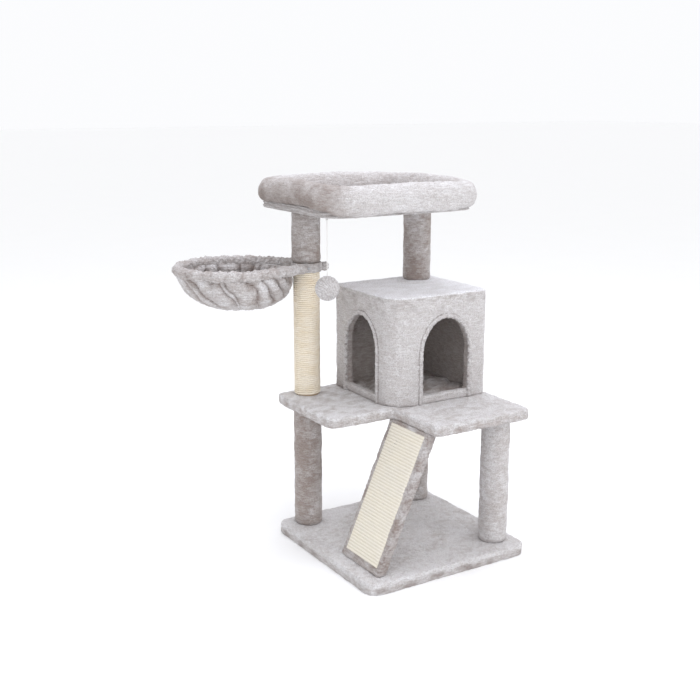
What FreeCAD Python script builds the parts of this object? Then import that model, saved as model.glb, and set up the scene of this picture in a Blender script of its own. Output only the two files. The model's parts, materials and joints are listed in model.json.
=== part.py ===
import FreeCAD, Part
import math
import os

os.makedirs("parts", exist_ok=True)

# Cat tree: a base board, three wrapped posts, an L-shaped middle platform with a condo, a rope-wrapped post,
# a swivelling hammock basket, two upper posts, a bolstered perch, a climbing ramp and a hanging plush ball.
# Millimetres, +Z up, origin at the centre of the base's underside. +X runs along the front edge and +Y to the back.

# ---- driving dimensions ----
BASE_LENGTH = 480.0
BASE_DEPTH = 474.0
BASE_THICKNESS = 29.5
BASE_CORNER = 30.0

PLUSH = 5.0                  # plush cloth with its pile, on boards and walls
LINER = 1.5                  # woven underside sheet of the base

TUBE_RADIUS = 30.0           # cardboard core tube of every post
TUBE_WALL = 4.0
POST_RADIUS = 37.0           # plush-wrapped post
ROPE_DIAMETER = 5.4          # sisal rope, one turn beside the other
ROPE_SINK = 0.9              # how far each turn is pressed into its glue
PLUG_HEIGHT = 22.0

LEFT_POST = (-170.0, 186.0)  # the column that carries the basket
FRONT_POST = (182.0, -166.0)
BACK_POST = (181.0, 185.0)
ROOF_POST = (163.0, 167.0)   # stands on the condo's roof

PLATFORM_TOP = 392.0
PLATFORM_THICKNESS = 27.0
PLATFORM_BACK = 232.0
PLATFORM_CORNER = 26.0
NOTCH_X = -55.6              # inner corner of the notch that the ramp climbs to
NOTCH_Y = -52.0
NOTCH_CORNER = 9.0

CONDO_LEFT = -67.0
CONDO_RIGHT = 227.0
CONDO_FRONT = -63.0
CONDO_BACK = 219.0
CONDO_TOP = 671.0
CONDO_ROUND = 60.0           # front left corner
CONDO_CORNER = 14.0          # the other three corners
PANEL = 9.0                  # hardboard wall and roof panels
LINING = 4.0                 # plush on the inner faces of the walls
FLOOR_PAD = 12.0

DOOR_WIDTH = 148.0
DOOR_SILL = 410.0            # height of the low sill's top
DOOR_SPRING = 522.0          # where the arch begins
DOOR_APEX = 613.0
DOOR_TRIM = 10.0             # width of the plush piping round a doorway
TRIM_PROUD = 3.0
LEFT_DOOR_CENTRE = 85.0      # Y of the doorway in the left wall
FRONT_DOOR_CENTRE = 96.0     # X of the doorway in the front wall

CLAMP_Z = 731.5              # middle of the hoop's plate between two post ends
CLAMP_GAP = 0.25             # running clearance above and below the plate
PLATE_THICKNESS = 3.0
PLATE_RADIUS = 26.0
COLLAR_HEIGHT = 23.0
COLLAR_DROP = 2.0            # the collar's middle below the plate's
COLLAR_RADIUS = 38.6
ROPE_CLEARANCE = 0.4         # collar's bore round the rope
STUD_CLEARANCE = 0.6         # plate's bore round the stud

HOOP_BEARING = 162.0         # direction from the post to the basket's centre, degrees
HOOP_RADIUS = 137.0
HOOP_REACH = 190.0           # post axis to hoop centre
HOOP_WIRE = 3.5
SLEEVE_RADIUS = 14.5
ARM_END = (8.0, 46.0)        # where each arm of the hoop ends beside the post, along and across
SLEEVE_START = 13.0          # bare wire at each arm's end, inside the collar's cuff
CUFF_RADIUS = 11.0
TUFT_RADIUS = 13.0
BOWL_DEPTH = 106.0
BOWL_CLOTH = 4.0
BOWL_ROUNDNESS = 2.6         # exponent of the bowl's profile
BOWL_LEAN = 22.0             # the deepest point lies this much nearer the post than the hoop's centre
BOWL_NOSE = (66.0, 17.5)     # the bowl's nose beside the post: its centre along, and its radius
BOWL_FLOOR = 0.16            # flat bottom, as a share of the mouth

PERCH_LEFT = -244.0
PERCH_RIGHT = 217.0
PERCH_FRONT = -68.0
PERCH_BACK = 360.0
PERCH_CORNER = 80.0
PERCH_BOTTOM = 874.0
PERCH_THICKNESS = 20.0
PERCH_CLOTH = 3.5
BOLSTER_HALF_WIDTH = 33.0
BOLSTER_HALF_HEIGHT = 41.0
BOLSTER_Z = 915.0
BOARD_INSET = 14.0           # perch board behind the bolster's outline, left, right and back
BOARD_FRONT_INSET = 28.0
PERCH_PAD = 18.0

RAMP_FOOT_X = -203.0         # outer face of the ramp on the base
RAMP_TOP_X = -56.0           # outer face of the ramp under the platform
RAMP_FRONT = -207.0
RAMP_BACK = -37.0
RAMP_THICKNESS = 28.0
MAT_WIDTH = 140.0
MAT_THICKNESS = 6.0
MAT_FOOT_MARGIN = 20.0
MAT_TOP_MARGIN = 9.0

BALL_AT = (-196.0, 35.0)
BALL_RADIUS = 30.0
BALL_CORE_RADIUS = 23.0
BALL_Z = 698.0
STRING_DIAMETER = 2.0
KNOT_RADIUS = 3.6
STAPLE_DROP = 4.0            # the staple's loop below the perch
STAPLE_HALF_SPAN = 4.5
STAPLE_WIRE = 0.7
KNOT_HANG = 0.4              # gap between the staple and the knot below it
STRING_BITE = 3.0            # string's end inside the ball's plush

BOLT_RADIUS = 4.0
BOLT_HEAD_RADIUS = 9.0
BOLT_HEAD = 4.0
BOLT_BITE = 20.0             # thread inside a post plug
RAMP_BOLT_RADIUS = 3.0
RAMP_BOLT_HEAD_RADIUS = 6.0
RAMP_BOLT_BITE = 14.0
RAMP_BOLT_SIDE = 45.0        # ramp bolts in from the ramp's sides
RAMP_BOLT_FOOT = 19.0        # and behind its outer face, at the foot and at the top
RAMP_BOLT_TOP = 12.0

BASE_EDGE = 9.0              # fillets of the cloth over each board's edges
BASE_HEM = 2.0
PLATFORM_EDGE = 8.0
RAMP_EDGE = 8.0
PERCH_EDGE = 5.0
ROOF_EDGE = 4.0
PAD_EDGE = 4.0
POST_EDGE = 3.0
COLLAR_EDGE = 1.5

PLATFORM_UNDER = PLATFORM_TOP - PLATFORM_THICKNESS
SISAL_TOP = CLAMP_Z - PLATE_THICKNESS / 2 - CLAMP_GAP
UPPER_START = CLAMP_Z + PLATE_THICKNESS / 2 + CLAMP_GAP
PERCH_TOP = PERCH_BOTTOM + PERCH_THICKNESS
UP = FreeCAD.Vector(0, 0, 1)


# ---- helpers ----
def vec(x, y, z=0.0):
    return FreeCAD.Vector(x, y, z)


def save(shape, name):
    shape.exportStep("parts/" + name + ".step")
    print(name, "solids", len(shape.Solids), "valid", shape.isValid(), "volume", round(shape.Volume))


def disc(x, y, z0, z1, radius):
    return Part.makeCylinder(radius, z1 - z0, vec(x, y, z0))


def ring(x, y, z0, z1, outer, inner):
    return disc(x, y, z0, z1, outer).cut(disc(x, y, z0, z1, inner))


def inset_corners(corners, distance):
    """Moves a counter-clockwise outline's corners (x, y, radius) inwards by a distance."""
    moved = []
    count = len(corners)
    for i, (x, y, radius) in enumerate(corners):
        before = vec(*corners[i - 1][:2])
        here = vec(x, y)
        after = vec(*corners[(i + 1) % count][:2])
        incoming = (here - before).normalize()
        outgoing = (after - here).normalize()
        turn = incoming.cross(outgoing).z
        inward_a = vec(-incoming.y, incoming.x)
        inward_b = vec(-outgoing.y, outgoing.x)
        shift = (inward_a + inward_b) * (distance / (1 + inward_a.dot(inward_b)))
        new_radius = radius - distance if turn > 0 else radius + distance
        moved.append((x + shift.x, y + shift.y, max(new_radius, 1.0)))
    return moved


def outline_wire(corners, z=0.0):
    """A closed wire through (x, y, radius) corners, with an arc at each."""
    count = len(corners)
    arcs = []
    for i, (x, y, radius) in enumerate(corners):
        here = vec(x, y, z)
        to_before = (vec(corners[i - 1][0], corners[i - 1][1], z) - here).normalize()
        to_after = (vec(corners[(i + 1) % count][0], corners[(i + 1) % count][1], z) - here).normalize()
        half = to_before.getAngle(to_after) / 2
        reach = radius / math.tan(half)
        bisector = (to_before + to_after).normalize()
        middle = here + bisector * (radius / math.sin(half) - radius)
        arcs.append((here + to_before * reach, middle, here + to_after * reach))
    edges = []
    for i, (start, middle, end) in enumerate(arcs):
        edges.append(Part.Arc(start, middle, end).toShape())
        edges.append(Part.LineSegment(end, arcs[(i + 1) % count][0]).toShape())
    return Part.Wire(edges)


def slab(corners, z0, z1):
    return Part.Face(outline_wire(corners, z0)).extrude(vec(0, 0, z1 - z0))


def rectangle(x0, x1, y0, y1, radius):
    return [(x0, y0, radius), (x1, y0, radius), (x1, y1, radius), (x0, y1, radius)]


def soften(shape, heights, radius):
    """Rounds every edge that lies wholly at one of the heights."""
    edges = []
    for edge in shape.Edges:
        box = edge.BoundBox
        if any(abs(box.ZMin - z) < 1e-3 and abs(box.ZMax - z) < 1e-3 for z in heights):
            edges.append(edge)
    return shape.makeFillet(radius, edges)


def bore(shape, places, z0, z1, radius):
    for x, y in places:
        shape = shape.cut(disc(x, y, z0, z1, radius))
    return shape


def bolt(x, y, z_head, z_tip, radius=BOLT_RADIUS, head_radius=BOLT_HEAD_RADIUS):
    """A bolt with its flat head at z_head and its tip at z_tip, above or below it."""
    low, high = min(z_head, z_tip), max(z_head, z_tip)
    shank = disc(x, y, low, high, radius)
    if z_tip > z_head:
        head = disc(x, y, z_head, z_head + BOLT_HEAD, head_radius)
    else:
        head = disc(x, y, z_head - BOLT_HEAD, z_head, head_radius)
    return shank.fuse(head)


def post_tube(place, z0, z1):
    return ring(place[0], place[1], z0, z1, TUBE_RADIUS, TUBE_RADIUS - TUBE_WALL)


def post_plush(place, z0, z1):
    wrap = soften(disc(place[0], place[1], z0, z1, POST_RADIUS), (z0, z1), POST_EDGE)
    return wrap.cut(disc(place[0], place[1], z0, z1, TUBE_RADIUS))


def post_plugs(place, z0, z1):
    x, y = place
    inner = TUBE_RADIUS - TUBE_WALL
    return [ring(x, y, z0, z0 + PLUG_HEIGHT, inner, BOLT_RADIUS),
            ring(x, y, z1 - PLUG_HEIGHT, z1, inner, BOLT_RADIUS)]


# ---- outlines ----
BASE_OUTLINE = rectangle(-BASE_LENGTH / 2, BASE_LENGTH / 2, -BASE_DEPTH / 2, BASE_DEPTH / 2, BASE_CORNER)
PLATFORM_OUTLINE = [
    (NOTCH_X, -BASE_DEPTH / 2, PLATFORM_CORNER / 2),
    (BASE_LENGTH / 2, -BASE_DEPTH / 2, PLATFORM_CORNER),
    (BASE_LENGTH / 2, PLATFORM_BACK, PLATFORM_CORNER),
    (-BASE_LENGTH / 2, PLATFORM_BACK, PLATFORM_CORNER),
    (-BASE_LENGTH / 2, NOTCH_Y, PLATFORM_CORNER),
    (NOTCH_X, NOTCH_Y, NOTCH_CORNER)]
CONDO_OUTLINE = [
    (CONDO_LEFT, CONDO_FRONT, CONDO_ROUND),
    (CONDO_RIGHT, CONDO_FRONT, CONDO_CORNER),
    (CONDO_RIGHT, CONDO_BACK, CONDO_CORNER),
    (CONDO_LEFT, CONDO_BACK, CONDO_CORNER)]
PERCH_OUTLINE = rectangle(PERCH_LEFT, PERCH_RIGHT, PERCH_FRONT, PERCH_BACK, PERCH_CORNER)
PERCH_BOARD_OUTLINE = rectangle(
    PERCH_LEFT + BOARD_INSET, PERCH_RIGHT - BOARD_INSET,
    PERCH_FRONT + BOARD_FRONT_INSET, PERCH_BACK - BOARD_INSET, PERCH_CORNER - BOARD_FRONT_INSET)

RAMP_RUN = RAMP_TOP_X - RAMP_FOOT_X
RAMP_RISE = PLATFORM_UNDER - BASE_THICKNESS
RAMP_LENGTH = math.hypot(RAMP_RUN, RAMP_RISE)
RAMP_UP = vec(RAMP_RUN / RAMP_LENGTH, 0, RAMP_RISE / RAMP_LENGTH)
RAMP_OUT = vec(-RAMP_UP.z, 0, RAMP_UP.x)
RAMP_BOLT_YS = (RAMP_FRONT + RAMP_BOLT_SIDE, RAMP_BACK - RAMP_BOLT_SIDE)
RAMP_FOOT_BOLTS = [(RAMP_FOOT_X + RAMP_BOLT_FOOT, y) for y in RAMP_BOLT_YS]
RAMP_TOP_BOLTS = [(RAMP_TOP_X + RAMP_BOLT_TOP, y) for y in RAMP_BOLT_YS]


# ---- base ----
LOWER_POSTS = [LEFT_POST, FRONT_POST, BACK_POST]


def make_base():
    core_outline = inset_corners(BASE_OUTLINE, PLUSH)
    board = slab(core_outline, LINER, BASE_THICKNESS - PLUSH)
    cover = soften(slab(BASE_OUTLINE, 0, BASE_THICKNESS), (BASE_THICKNESS,), BASE_EDGE)
    cover = soften(cover, (0,), BASE_HEM)
    cover = cover.cut(slab(core_outline, 0, BASE_THICKNESS - PLUSH))
    liner = slab(core_outline, 0, LINER)
    head_top = LINER + BOLT_HEAD
    for places, radius, head_radius in (
            (LOWER_POSTS, BOLT_RADIUS, BOLT_HEAD_RADIUS),
            (RAMP_FOOT_BOLTS, RAMP_BOLT_RADIUS, RAMP_BOLT_HEAD_RADIUS)):
        board = bore(board, places, 0, BASE_THICKNESS, radius)
        board = bore(board, places, 0, head_top, head_radius)
        cover = bore(cover, places, 0, BASE_THICKNESS, radius)
        liner = bore(liner, places, 0, LINER, head_radius)
    save(board, "base_board")
    save(cover, "base_cover")
    save(liner, "base_liner")
    bolts = [bolt(x, y, LINER, BASE_THICKNESS + BOLT_BITE) for x, y in LOWER_POSTS]
    save(Part.makeCompound(bolts), "base_bolts")


# ---- posts ----
def make_posts():
    spans = {
        "lower_left_post": (LEFT_POST, BASE_THICKNESS, PLATFORM_UNDER),
        "lower_front_post": (FRONT_POST, BASE_THICKNESS, PLATFORM_UNDER),
        "lower_back_post": (BACK_POST, BASE_THICKNESS, PLATFORM_UNDER),
        "roof_post": (ROOF_POST, CONDO_TOP, PERCH_BOTTOM)}
    plugs = []
    for name, (place, z0, z1) in spans.items():
        save(post_tube(place, z0, z1), name + "_tube")
        save(post_plush(place, z0, z1), name + "_plush")
        plugs += post_plugs(place, z0, z1)
    # the column above the platform: rope post, clamp gap, plush post
    collar_top = CLAMP_Z + COLLAR_HEIGHT / 2 - COLLAR_DROP
    save(post_tube(LEFT_POST, UPPER_START, PERCH_BOTTOM), "upper_left_post_tube")
    save(post_plush(LEFT_POST, collar_top + 1.0, PERCH_BOTTOM), "upper_left_post_plush")
    save(post_tube(LEFT_POST, PLATFORM_TOP, SISAL_TOP), "sisal_post_tube")
    plugs += post_plugs(LEFT_POST, UPPER_START, PERCH_BOTTOM)
    plugs += post_plugs(LEFT_POST, PLATFORM_TOP, SISAL_TOP)
    save(Part.makeCompound(plugs), "post_plugs")
    save(rope_winding(PLATFORM_TOP, SISAL_TOP), "sisal_rope")


def rope_winding(z0, z1):
    """The rope's turns side by side: a sleeve with one rounded ridge to a turn."""
    turns = int((z1 - z0) / ROPE_DIAMETER)
    pitch = (z1 - z0) / turns
    x, y = LEFT_POST
    valley = TUBE_RADIUS + 0.62 * ROPE_DIAMETER
    crest = TUBE_RADIUS + ROPE_DIAMETER - ROPE_SINK
    edges = [Part.LineSegment(vec(x + valley, y, z1), vec(x + TUBE_RADIUS, y, z1)).toShape(),
             Part.LineSegment(vec(x + TUBE_RADIUS, y, z1), vec(x + TUBE_RADIUS, y, z0)).toShape(),
             Part.LineSegment(vec(x + TUBE_RADIUS, y, z0), vec(x + valley, y, z0)).toShape()]
    for turn in range(turns):
        low = z0 + turn * pitch
        edges.append(Part.Arc(vec(x + valley, y, low), vec(x + crest, y, low + pitch / 2),
                              vec(x + valley, y, low + pitch)).toShape())
    profile = Part.Face(Part.Wire(Part.__sortEdges__(edges)))
    return profile.revolve(vec(x, y, 0), UP, 360)


# ---- middle platform ----
def make_platform():
    core_outline = inset_corners(PLATFORM_OUTLINE, PLUSH)
    core_low, core_top = PLATFORM_UNDER + PLUSH, PLATFORM_TOP - PLUSH
    board = slab(core_outline, core_low, core_top)
    edges = (PLATFORM_UNDER, PLATFORM_TOP)
    cover = soften(slab(PLATFORM_OUTLINE, *edges), edges, PLATFORM_EDGE)
    cover = cover.cut(slab(core_outline, core_low, core_top))
    bolted = [FRONT_POST, BACK_POST]
    for places, radius in ((bolted + [LEFT_POST], BOLT_RADIUS), (RAMP_TOP_BOLTS, RAMP_BOLT_RADIUS)):
        board = bore(board, places, core_low, core_top, radius)
        cover = bore(cover, places, PLATFORM_UNDER, core_low, radius)
    board = bore(board, bolted, core_top - BOLT_HEAD, core_top, BOLT_HEAD_RADIUS)
    board = bore(board, RAMP_TOP_BOLTS, core_top - BOLT_HEAD, core_top, RAMP_BOLT_HEAD_RADIUS)
    cover = bore(cover, [LEFT_POST], core_top, PLATFORM_TOP, BOLT_RADIUS)
    save(board, "platform_board")
    save(cover, "platform_cover")
    bolts = [bolt(x, y, core_top, PLATFORM_UNDER - BOLT_BITE) for x, y in bolted]
    save(Part.makeCompound(bolts), "platform_bolts")
    stud = disc(*LEFT_POST, PLATFORM_UNDER - BOLT_BITE, PLATFORM_TOP + BOLT_BITE, BOLT_RADIUS)
    save(stud, "column_stud")


# ---- condo ----
def arch_wire(grow, sill):
    """A doorway in its own plane: X across, Y up, with a half-ellipse for the arch."""
    half = DOOR_WIDTH / 2 + grow
    rise = DOOR_APEX - DOOR_SPRING + grow
    centre = vec(0, DOOR_SPRING)
    if rise > half:
        ellipse = Part.Ellipse(vec(0, DOOR_SPRING + rise), vec(half, DOOR_SPRING), centre)
        arch = Part.Arc(ellipse, -math.pi / 2, math.pi / 2).toShape()
    else:
        ellipse = Part.Ellipse(vec(half, DOOR_SPRING), vec(0, DOOR_SPRING + rise), centre)
        arch = Part.Arc(ellipse, 0, math.pi).toShape()
    ends = sorted((vertex.Point for vertex in arch.Vertexes), key=lambda point: point.x)
    left, right = ends
    low_left, low_right = vec(-half, sill), vec(half, sill)
    edges = [arch, Part.LineSegment(left, low_left).toShape(), Part.LineSegment(low_left, low_right).toShape(),
             Part.LineSegment(low_right, right).toShape()]
    return Part.Wire(Part.__sortEdges__(edges))


def doorway(side, grow, sill, near, far):
    """A doorway prism between two distances outwards from the wall's outer face (negative is inwards)."""
    face = Part.Face(arch_wire(grow, sill))
    prism = face.extrude(vec(0, 0, far - near))
    prism.translate(vec(0, 0, near))
    prism.rotate(vec(0, 0, 0), vec(1, 0, 0), 90)
    if side == "front":
        prism.translate(vec(FRONT_DOOR_CENTRE, CONDO_FRONT, 0))
    else:
        prism.rotate(vec(0, 0, 0), UP, -90)
        prism.translate(vec(CONDO_LEFT, LEFT_DOOR_CENTRE, 0))
    return prism


def make_condo():
    walls_top = CONDO_TOP - PLUSH - PANEL
    panel_outer = inset_corners(CONDO_OUTLINE, PLUSH)
    panel_inner = inset_corners(CONDO_OUTLINE, PLUSH + PANEL)
    lining_inner = inset_corners(CONDO_OUTLINE, PLUSH + PANEL + LINING)
    inward, outward = PLUSH + PANEL + LINING + 30.0, 10.0     # a cutter's reach through a wall
    skin = slab(CONDO_OUTLINE, PLATFORM_TOP, CONDO_TOP - PLUSH)
    skin = skin.cut(slab(panel_outer, PLATFORM_TOP, CONDO_TOP - PLUSH))
    panels = slab(panel_outer, PLATFORM_TOP, walls_top).cut(slab(panel_inner, PLATFORM_TOP, walls_top))
    lining = slab(panel_inner, PLATFORM_TOP, walls_top).cut(slab(lining_inner, PLATFORM_TOP, walls_top))
    for side in ("left", "front"):
        hole = doorway(side, 0, DOOR_SILL, -inward, outward)
        # the piping takes the skin's place round the hole
        wide = doorway(side, DOOR_TRIM, PLATFORM_TOP, -PLUSH, outward)
        skin = skin.cut(wide)
        save(doorway(side, 0, PLATFORM_TOP, -PLUSH, 0).cut(hole), "door_sill_" + side)
        panels = panels.cut(hole)
        lining = lining.cut(hole)
        band = doorway(side, DOOR_TRIM, PLATFORM_TOP, -PLUSH, TRIM_PROUD)
        band = band.cut(doorway(side, 0, PLATFORM_TOP - outward, -inward, outward))
        save(band, "door_trim_" + side)
    save(skin, "condo_wall_plush")
    save(lining, "condo_lining")

    # the bent left-and-front panel, and the two flat ones behind it
    wall = PLUSH + PANEL
    slack = 1.5                  # takes in the rounded inner corners
    inner_right, inner_back = CONDO_RIGHT - wall - slack, CONDO_BACK - wall - slack
    tall = walls_top - PLATFORM_TOP
    right_zone = Part.makeBox(wall + slack, CONDO_BACK - CONDO_FRONT, tall,
                              vec(inner_right, CONDO_FRONT + wall, PLATFORM_TOP))
    back_zone = Part.makeBox(inner_right - CONDO_LEFT - wall, wall + slack, tall,
                             vec(CONDO_LEFT + wall, inner_back, PLATFORM_TOP))
    save(panels.common(right_zone), "condo_right_panel")
    save(panels.common(back_zone), "condo_back_panel")
    save(panels.cut(right_zone).cut(back_zone), "condo_bent_panel")

    roof = bore(slab(panel_outer, walls_top, walls_top + PANEL), [ROOF_POST], walls_top, CONDO_TOP, BOLT_RADIUS)
    save(roof, "condo_roof_board")
    roof_skin = soften(slab(CONDO_OUTLINE, CONDO_TOP - PLUSH, CONDO_TOP), (CONDO_TOP,), ROOF_EDGE)
    save(bore(roof_skin, [ROOF_POST], walls_top, CONDO_TOP, BOLT_RADIUS), "condo_roof_plush")
    save(bolt(*ROOF_POST, walls_top - BOLT_HEAD, CONDO_TOP + BOLT_BITE), "roof_bolt")
    pad = slab(inset_corners(lining_inner, 2.0), PLATFORM_TOP, PLATFORM_TOP + FLOOR_PAD)
    save(soften(pad, (PLATFORM_TOP + FLOOR_PAD,), PAD_EDGE), "condo_floor_pad")


# ---- perch ----
def bolster_ring():
    path = outline_wire(inset_corners(PERCH_OUTLINE, BOLSTER_HALF_WIDTH), BOLSTER_Z)
    start = path.OrderedEdges[0]
    point = start.valueAt(start.FirstParameter)
    tangent = start.tangentAt(start.FirstParameter)
    section = Part.Ellipse(vec(0, 0), BOLSTER_HALF_HEIGHT, BOLSTER_HALF_WIDTH).toShape()
    section.rotate(vec(0, 0), vec(0, 1, 0), -90)     # the long axis now stands up
    section.rotate(vec(0, 0), UP, math.degrees(math.atan2(tangent.y, tangent.x)))
    section.translate(point)
    return path.makePipeShell([Part.Wire([section])], True, False)


def make_perch():
    core_outline = inset_corners(PERCH_BOARD_OUTLINE, PERCH_CLOTH)
    core_low, core_top = PERCH_BOTTOM + PERCH_CLOTH, PERCH_TOP - PERCH_CLOTH
    posts = [LEFT_POST, ROOF_POST]
    board = slab(core_outline, core_low, core_top)
    board = bore(board, posts, core_low, core_top, BOLT_RADIUS)
    board = bore(board, posts, core_top - BOLT_HEAD, core_top, BOLT_HEAD_RADIUS)
    whole = slab(PERCH_BOARD_OUTLINE, PERCH_BOTTOM, PERCH_TOP)
    cover = soften(whole, (PERCH_BOTTOM, PERCH_TOP), PERCH_EDGE).cut(slab(core_outline, core_low, core_top))
    cover = bore(cover, posts, PERCH_BOTTOM, core_low, BOLT_RADIUS)
    bolster = bolster_ring()
    pad = slab(inset_corners(PERCH_OUTLINE, BOLSTER_HALF_WIDTH), PERCH_TOP, PERCH_TOP + PERCH_PAD)
    save(board, "perch_board")
    save(cover, "perch_cover")
    save(pad.cut(bolster), "perch_pad")
    save(bolster.cut(whole), "perch_bolster")
    bolts = [bolt(x, y, core_top, PERCH_BOTTOM - BOLT_BITE) for x, y in posts]
    save(Part.makeCompound(bolts), "perch_bolts")


# ---- hammock basket, drawn with its post at the origin and its centre along +X ----
def place_basket(shape):
    shape = shape.copy()
    shape.rotate(vec(0, 0), UP, HOOP_BEARING)
    shape.translate(vec(LEFT_POST[0], LEFT_POST[1], 0))
    return shape


def hoop_path(start):
    """Straight arm, round hoop, straight arm. Each arm begins this far along from its end by the post."""
    centre = vec(HOOP_REACH, 0)
    near, touch = [], []
    for side in (-1, 1):
        end = vec(ARM_END[0], side * ARM_END[1])
        away = end - centre
        spread = math.acos(HOOP_RADIUS / away.Length)
        angle = math.atan2(away.y, away.x) - side * spread
        contact = centre + vec(math.cos(angle), math.sin(angle)) * HOOP_RADIUS
        along = (contact - end).normalize()
        near.append(end + along * start + vec(0, 0, CLAMP_Z))
        touch.append(contact + vec(0, 0, CLAMP_Z))
    far = vec(HOOP_REACH + HOOP_RADIUS, 0, CLAMP_Z)
    edges = [Part.LineSegment(near[0], touch[0]).toShape(), Part.Arc(touch[0], far, touch[1]).toShape(),
             Part.LineSegment(touch[1], near[1]).toShape()]
    return Part.Wire(edges)


def hoop_tube(start, radius):
    path = hoop_path(start)
    first = path.OrderedEdges[0]
    point = first.valueAt(first.FirstParameter)
    circle = Part.Circle(point, first.tangentAt(first.FirstParameter), radius).toShape()
    return path.makePipeShell([Part.Wire([circle])], True, False)


def bowl_section(scale, shift, z, inset):
    """The basket's outline at a height: a round end joined by tangents to a small nose by the post."""
    radius = (HOOP_RADIUS - inset) * scale
    nose = BOWL_NOSE[1] * scale
    centre_x = HOOP_REACH - shift
    nose_x = centre_x - (HOOP_REACH - BOWL_NOSE[0]) * scale
    lean = math.acos((radius - nose) / (centre_x - nose_x))
    big, small = [], []
    for side in (-1, 1):
        direction = vec(-math.cos(lean), side * math.sin(lean))
        big.append(vec(centre_x, 0, z) + direction * radius)
        small.append(vec(nose_x, 0, z) + direction * nose)
    edges = [Part.Arc(big[0], vec(centre_x + radius, 0, z), big[1]).toShape(),
             Part.LineSegment(big[1], small[1]).toShape(),
             Part.Arc(small[1], vec(nose_x - nose, 0, z), small[0]).toShape(),
             Part.LineSegment(small[0], big[0]).toShape()]
    return Part.Wire(edges)


def bowl_solid(inset, lift):
    """A deep round-bottomed dish: its profile follows a quarter of a superellipse."""
    top = CLAMP_Z - SLEEVE_RADIUS + 4.0
    depth = BOWL_DEPTH - SLEEVE_RADIUS + 4.0 - lift
    sections = []
    for share in (0.0, 0.3, 0.6, 0.82, 0.95, 1.0):
        scale = max((1 - share ** BOWL_ROUNDNESS) ** (1 / BOWL_ROUNDNESS), BOWL_FLOOR)
        sections.append(bowl_section(scale, BOWL_LEAN * share, top - depth * share, inset))
    return Part.makeLoft(sections, True, False)


def make_basket():
    sleeve = hoop_tube(SLEEVE_START, SLEEVE_RADIUS)
    wire = hoop_tube(0, HOOP_WIRE)
    bowl = bowl_solid(2.0, 0.0).cut(bowl_solid(2.0 + BOWL_CLOTH, BOWL_CLOTH)).cut(sleeve)
    save(place_basket(wire), "hoop_wire")
    save(place_basket(sleeve.cut(wire)), "hoop_sleeve")
    save(place_basket(bowl), "basket_bowl")

    low, high = CLAMP_Z - PLATE_THICKNESS / 2, CLAMP_Z + PLATE_THICKNESS / 2
    reach = ARM_END[1] + HOOP_WIRE
    wings = Part.makeBox(2 * ARM_END[0], 2 * reach, PLATE_THICKNESS, vec(0, -reach, low))
    plate = disc(0, 0, low, high, PLATE_RADIUS).fuse(wings)
    plate = plate.cut(disc(0, 0, low, high, BOLT_RADIUS + STUD_CLEARANCE)).cut(wire)
    collar_low = CLAMP_Z - COLLAR_HEIGHT / 2 - COLLAR_DROP
    collar_high = collar_low + COLLAR_HEIGHT
    edges = (collar_low, collar_high)
    collar = soften(disc(0, 0, *edges, COLLAR_RADIUS), edges, COLLAR_EDGE)
    for side in (-1, 1):
        collar = collar.fuse(Part.makeSphere(CUFF_RADIUS, vec(ARM_END[0], side * ARM_END[1], CLAMP_Z)))
    rope_outer = TUBE_RADIUS + ROPE_DIAMETER - ROPE_SINK + ROPE_CLEARANCE
    column = disc(0, 0, collar_low, collar_high, rope_outer)
    column = column.fuse(disc(0, 0, collar_high, collar_high + CUFF_RADIUS, COLLAR_RADIUS))
    collar = collar.cut(column).cut(plate).cut(sleeve).cut(wire)
    tuft_centre = vec(-COLLAR_RADIUS - TUFT_RADIUS / 2, 0, CLAMP_Z - COLLAR_DROP)
    tuft = Part.makeSphere(TUFT_RADIUS, tuft_centre)
    tuft.rotate(tuft_centre, vec(0, 1, 0), 90)       # turns the sphere's seam away from the cut
    tuft = tuft.cut(disc(0, 0, CLAMP_Z - 2 * TUFT_RADIUS, CLAMP_Z + 2 * TUFT_RADIUS, COLLAR_RADIUS))
    save(place_basket(plate.removeSplitter()), "hoop_plate")
    save(place_basket(collar), "clamp_collar")
    save(place_basket(tuft), "collar_tuft")
    save(disc(*LEFT_POST, SISAL_TOP - BOLT_BITE, UPPER_START + BOLT_BITE, BOLT_RADIUS), "clamp_stud")


# ---- ramp ----
def ramp_slab(outer, inner, y0, y1, z0=BASE_THICKNESS, z1=PLATFORM_UNDER):
    """A sloping slab between two depths below the ramp's outer face, cut level at z0 and z1."""
    def at(depth, z):
        along = (z - BASE_THICKNESS) * RAMP_RUN / RAMP_RISE
        return RAMP_FOOT_X + along + depth / RAMP_UP.z
    points = [vec(at(outer, z0), y0, z0), vec(at(inner, z0), y0, z0), vec(at(inner, z1), y0, z1),
              vec(at(outer, z1), y0, z1)]
    return Part.Face(Part.makePolygon(points + points[:1])).extrude(vec(0, y1 - y0, 0))


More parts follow.
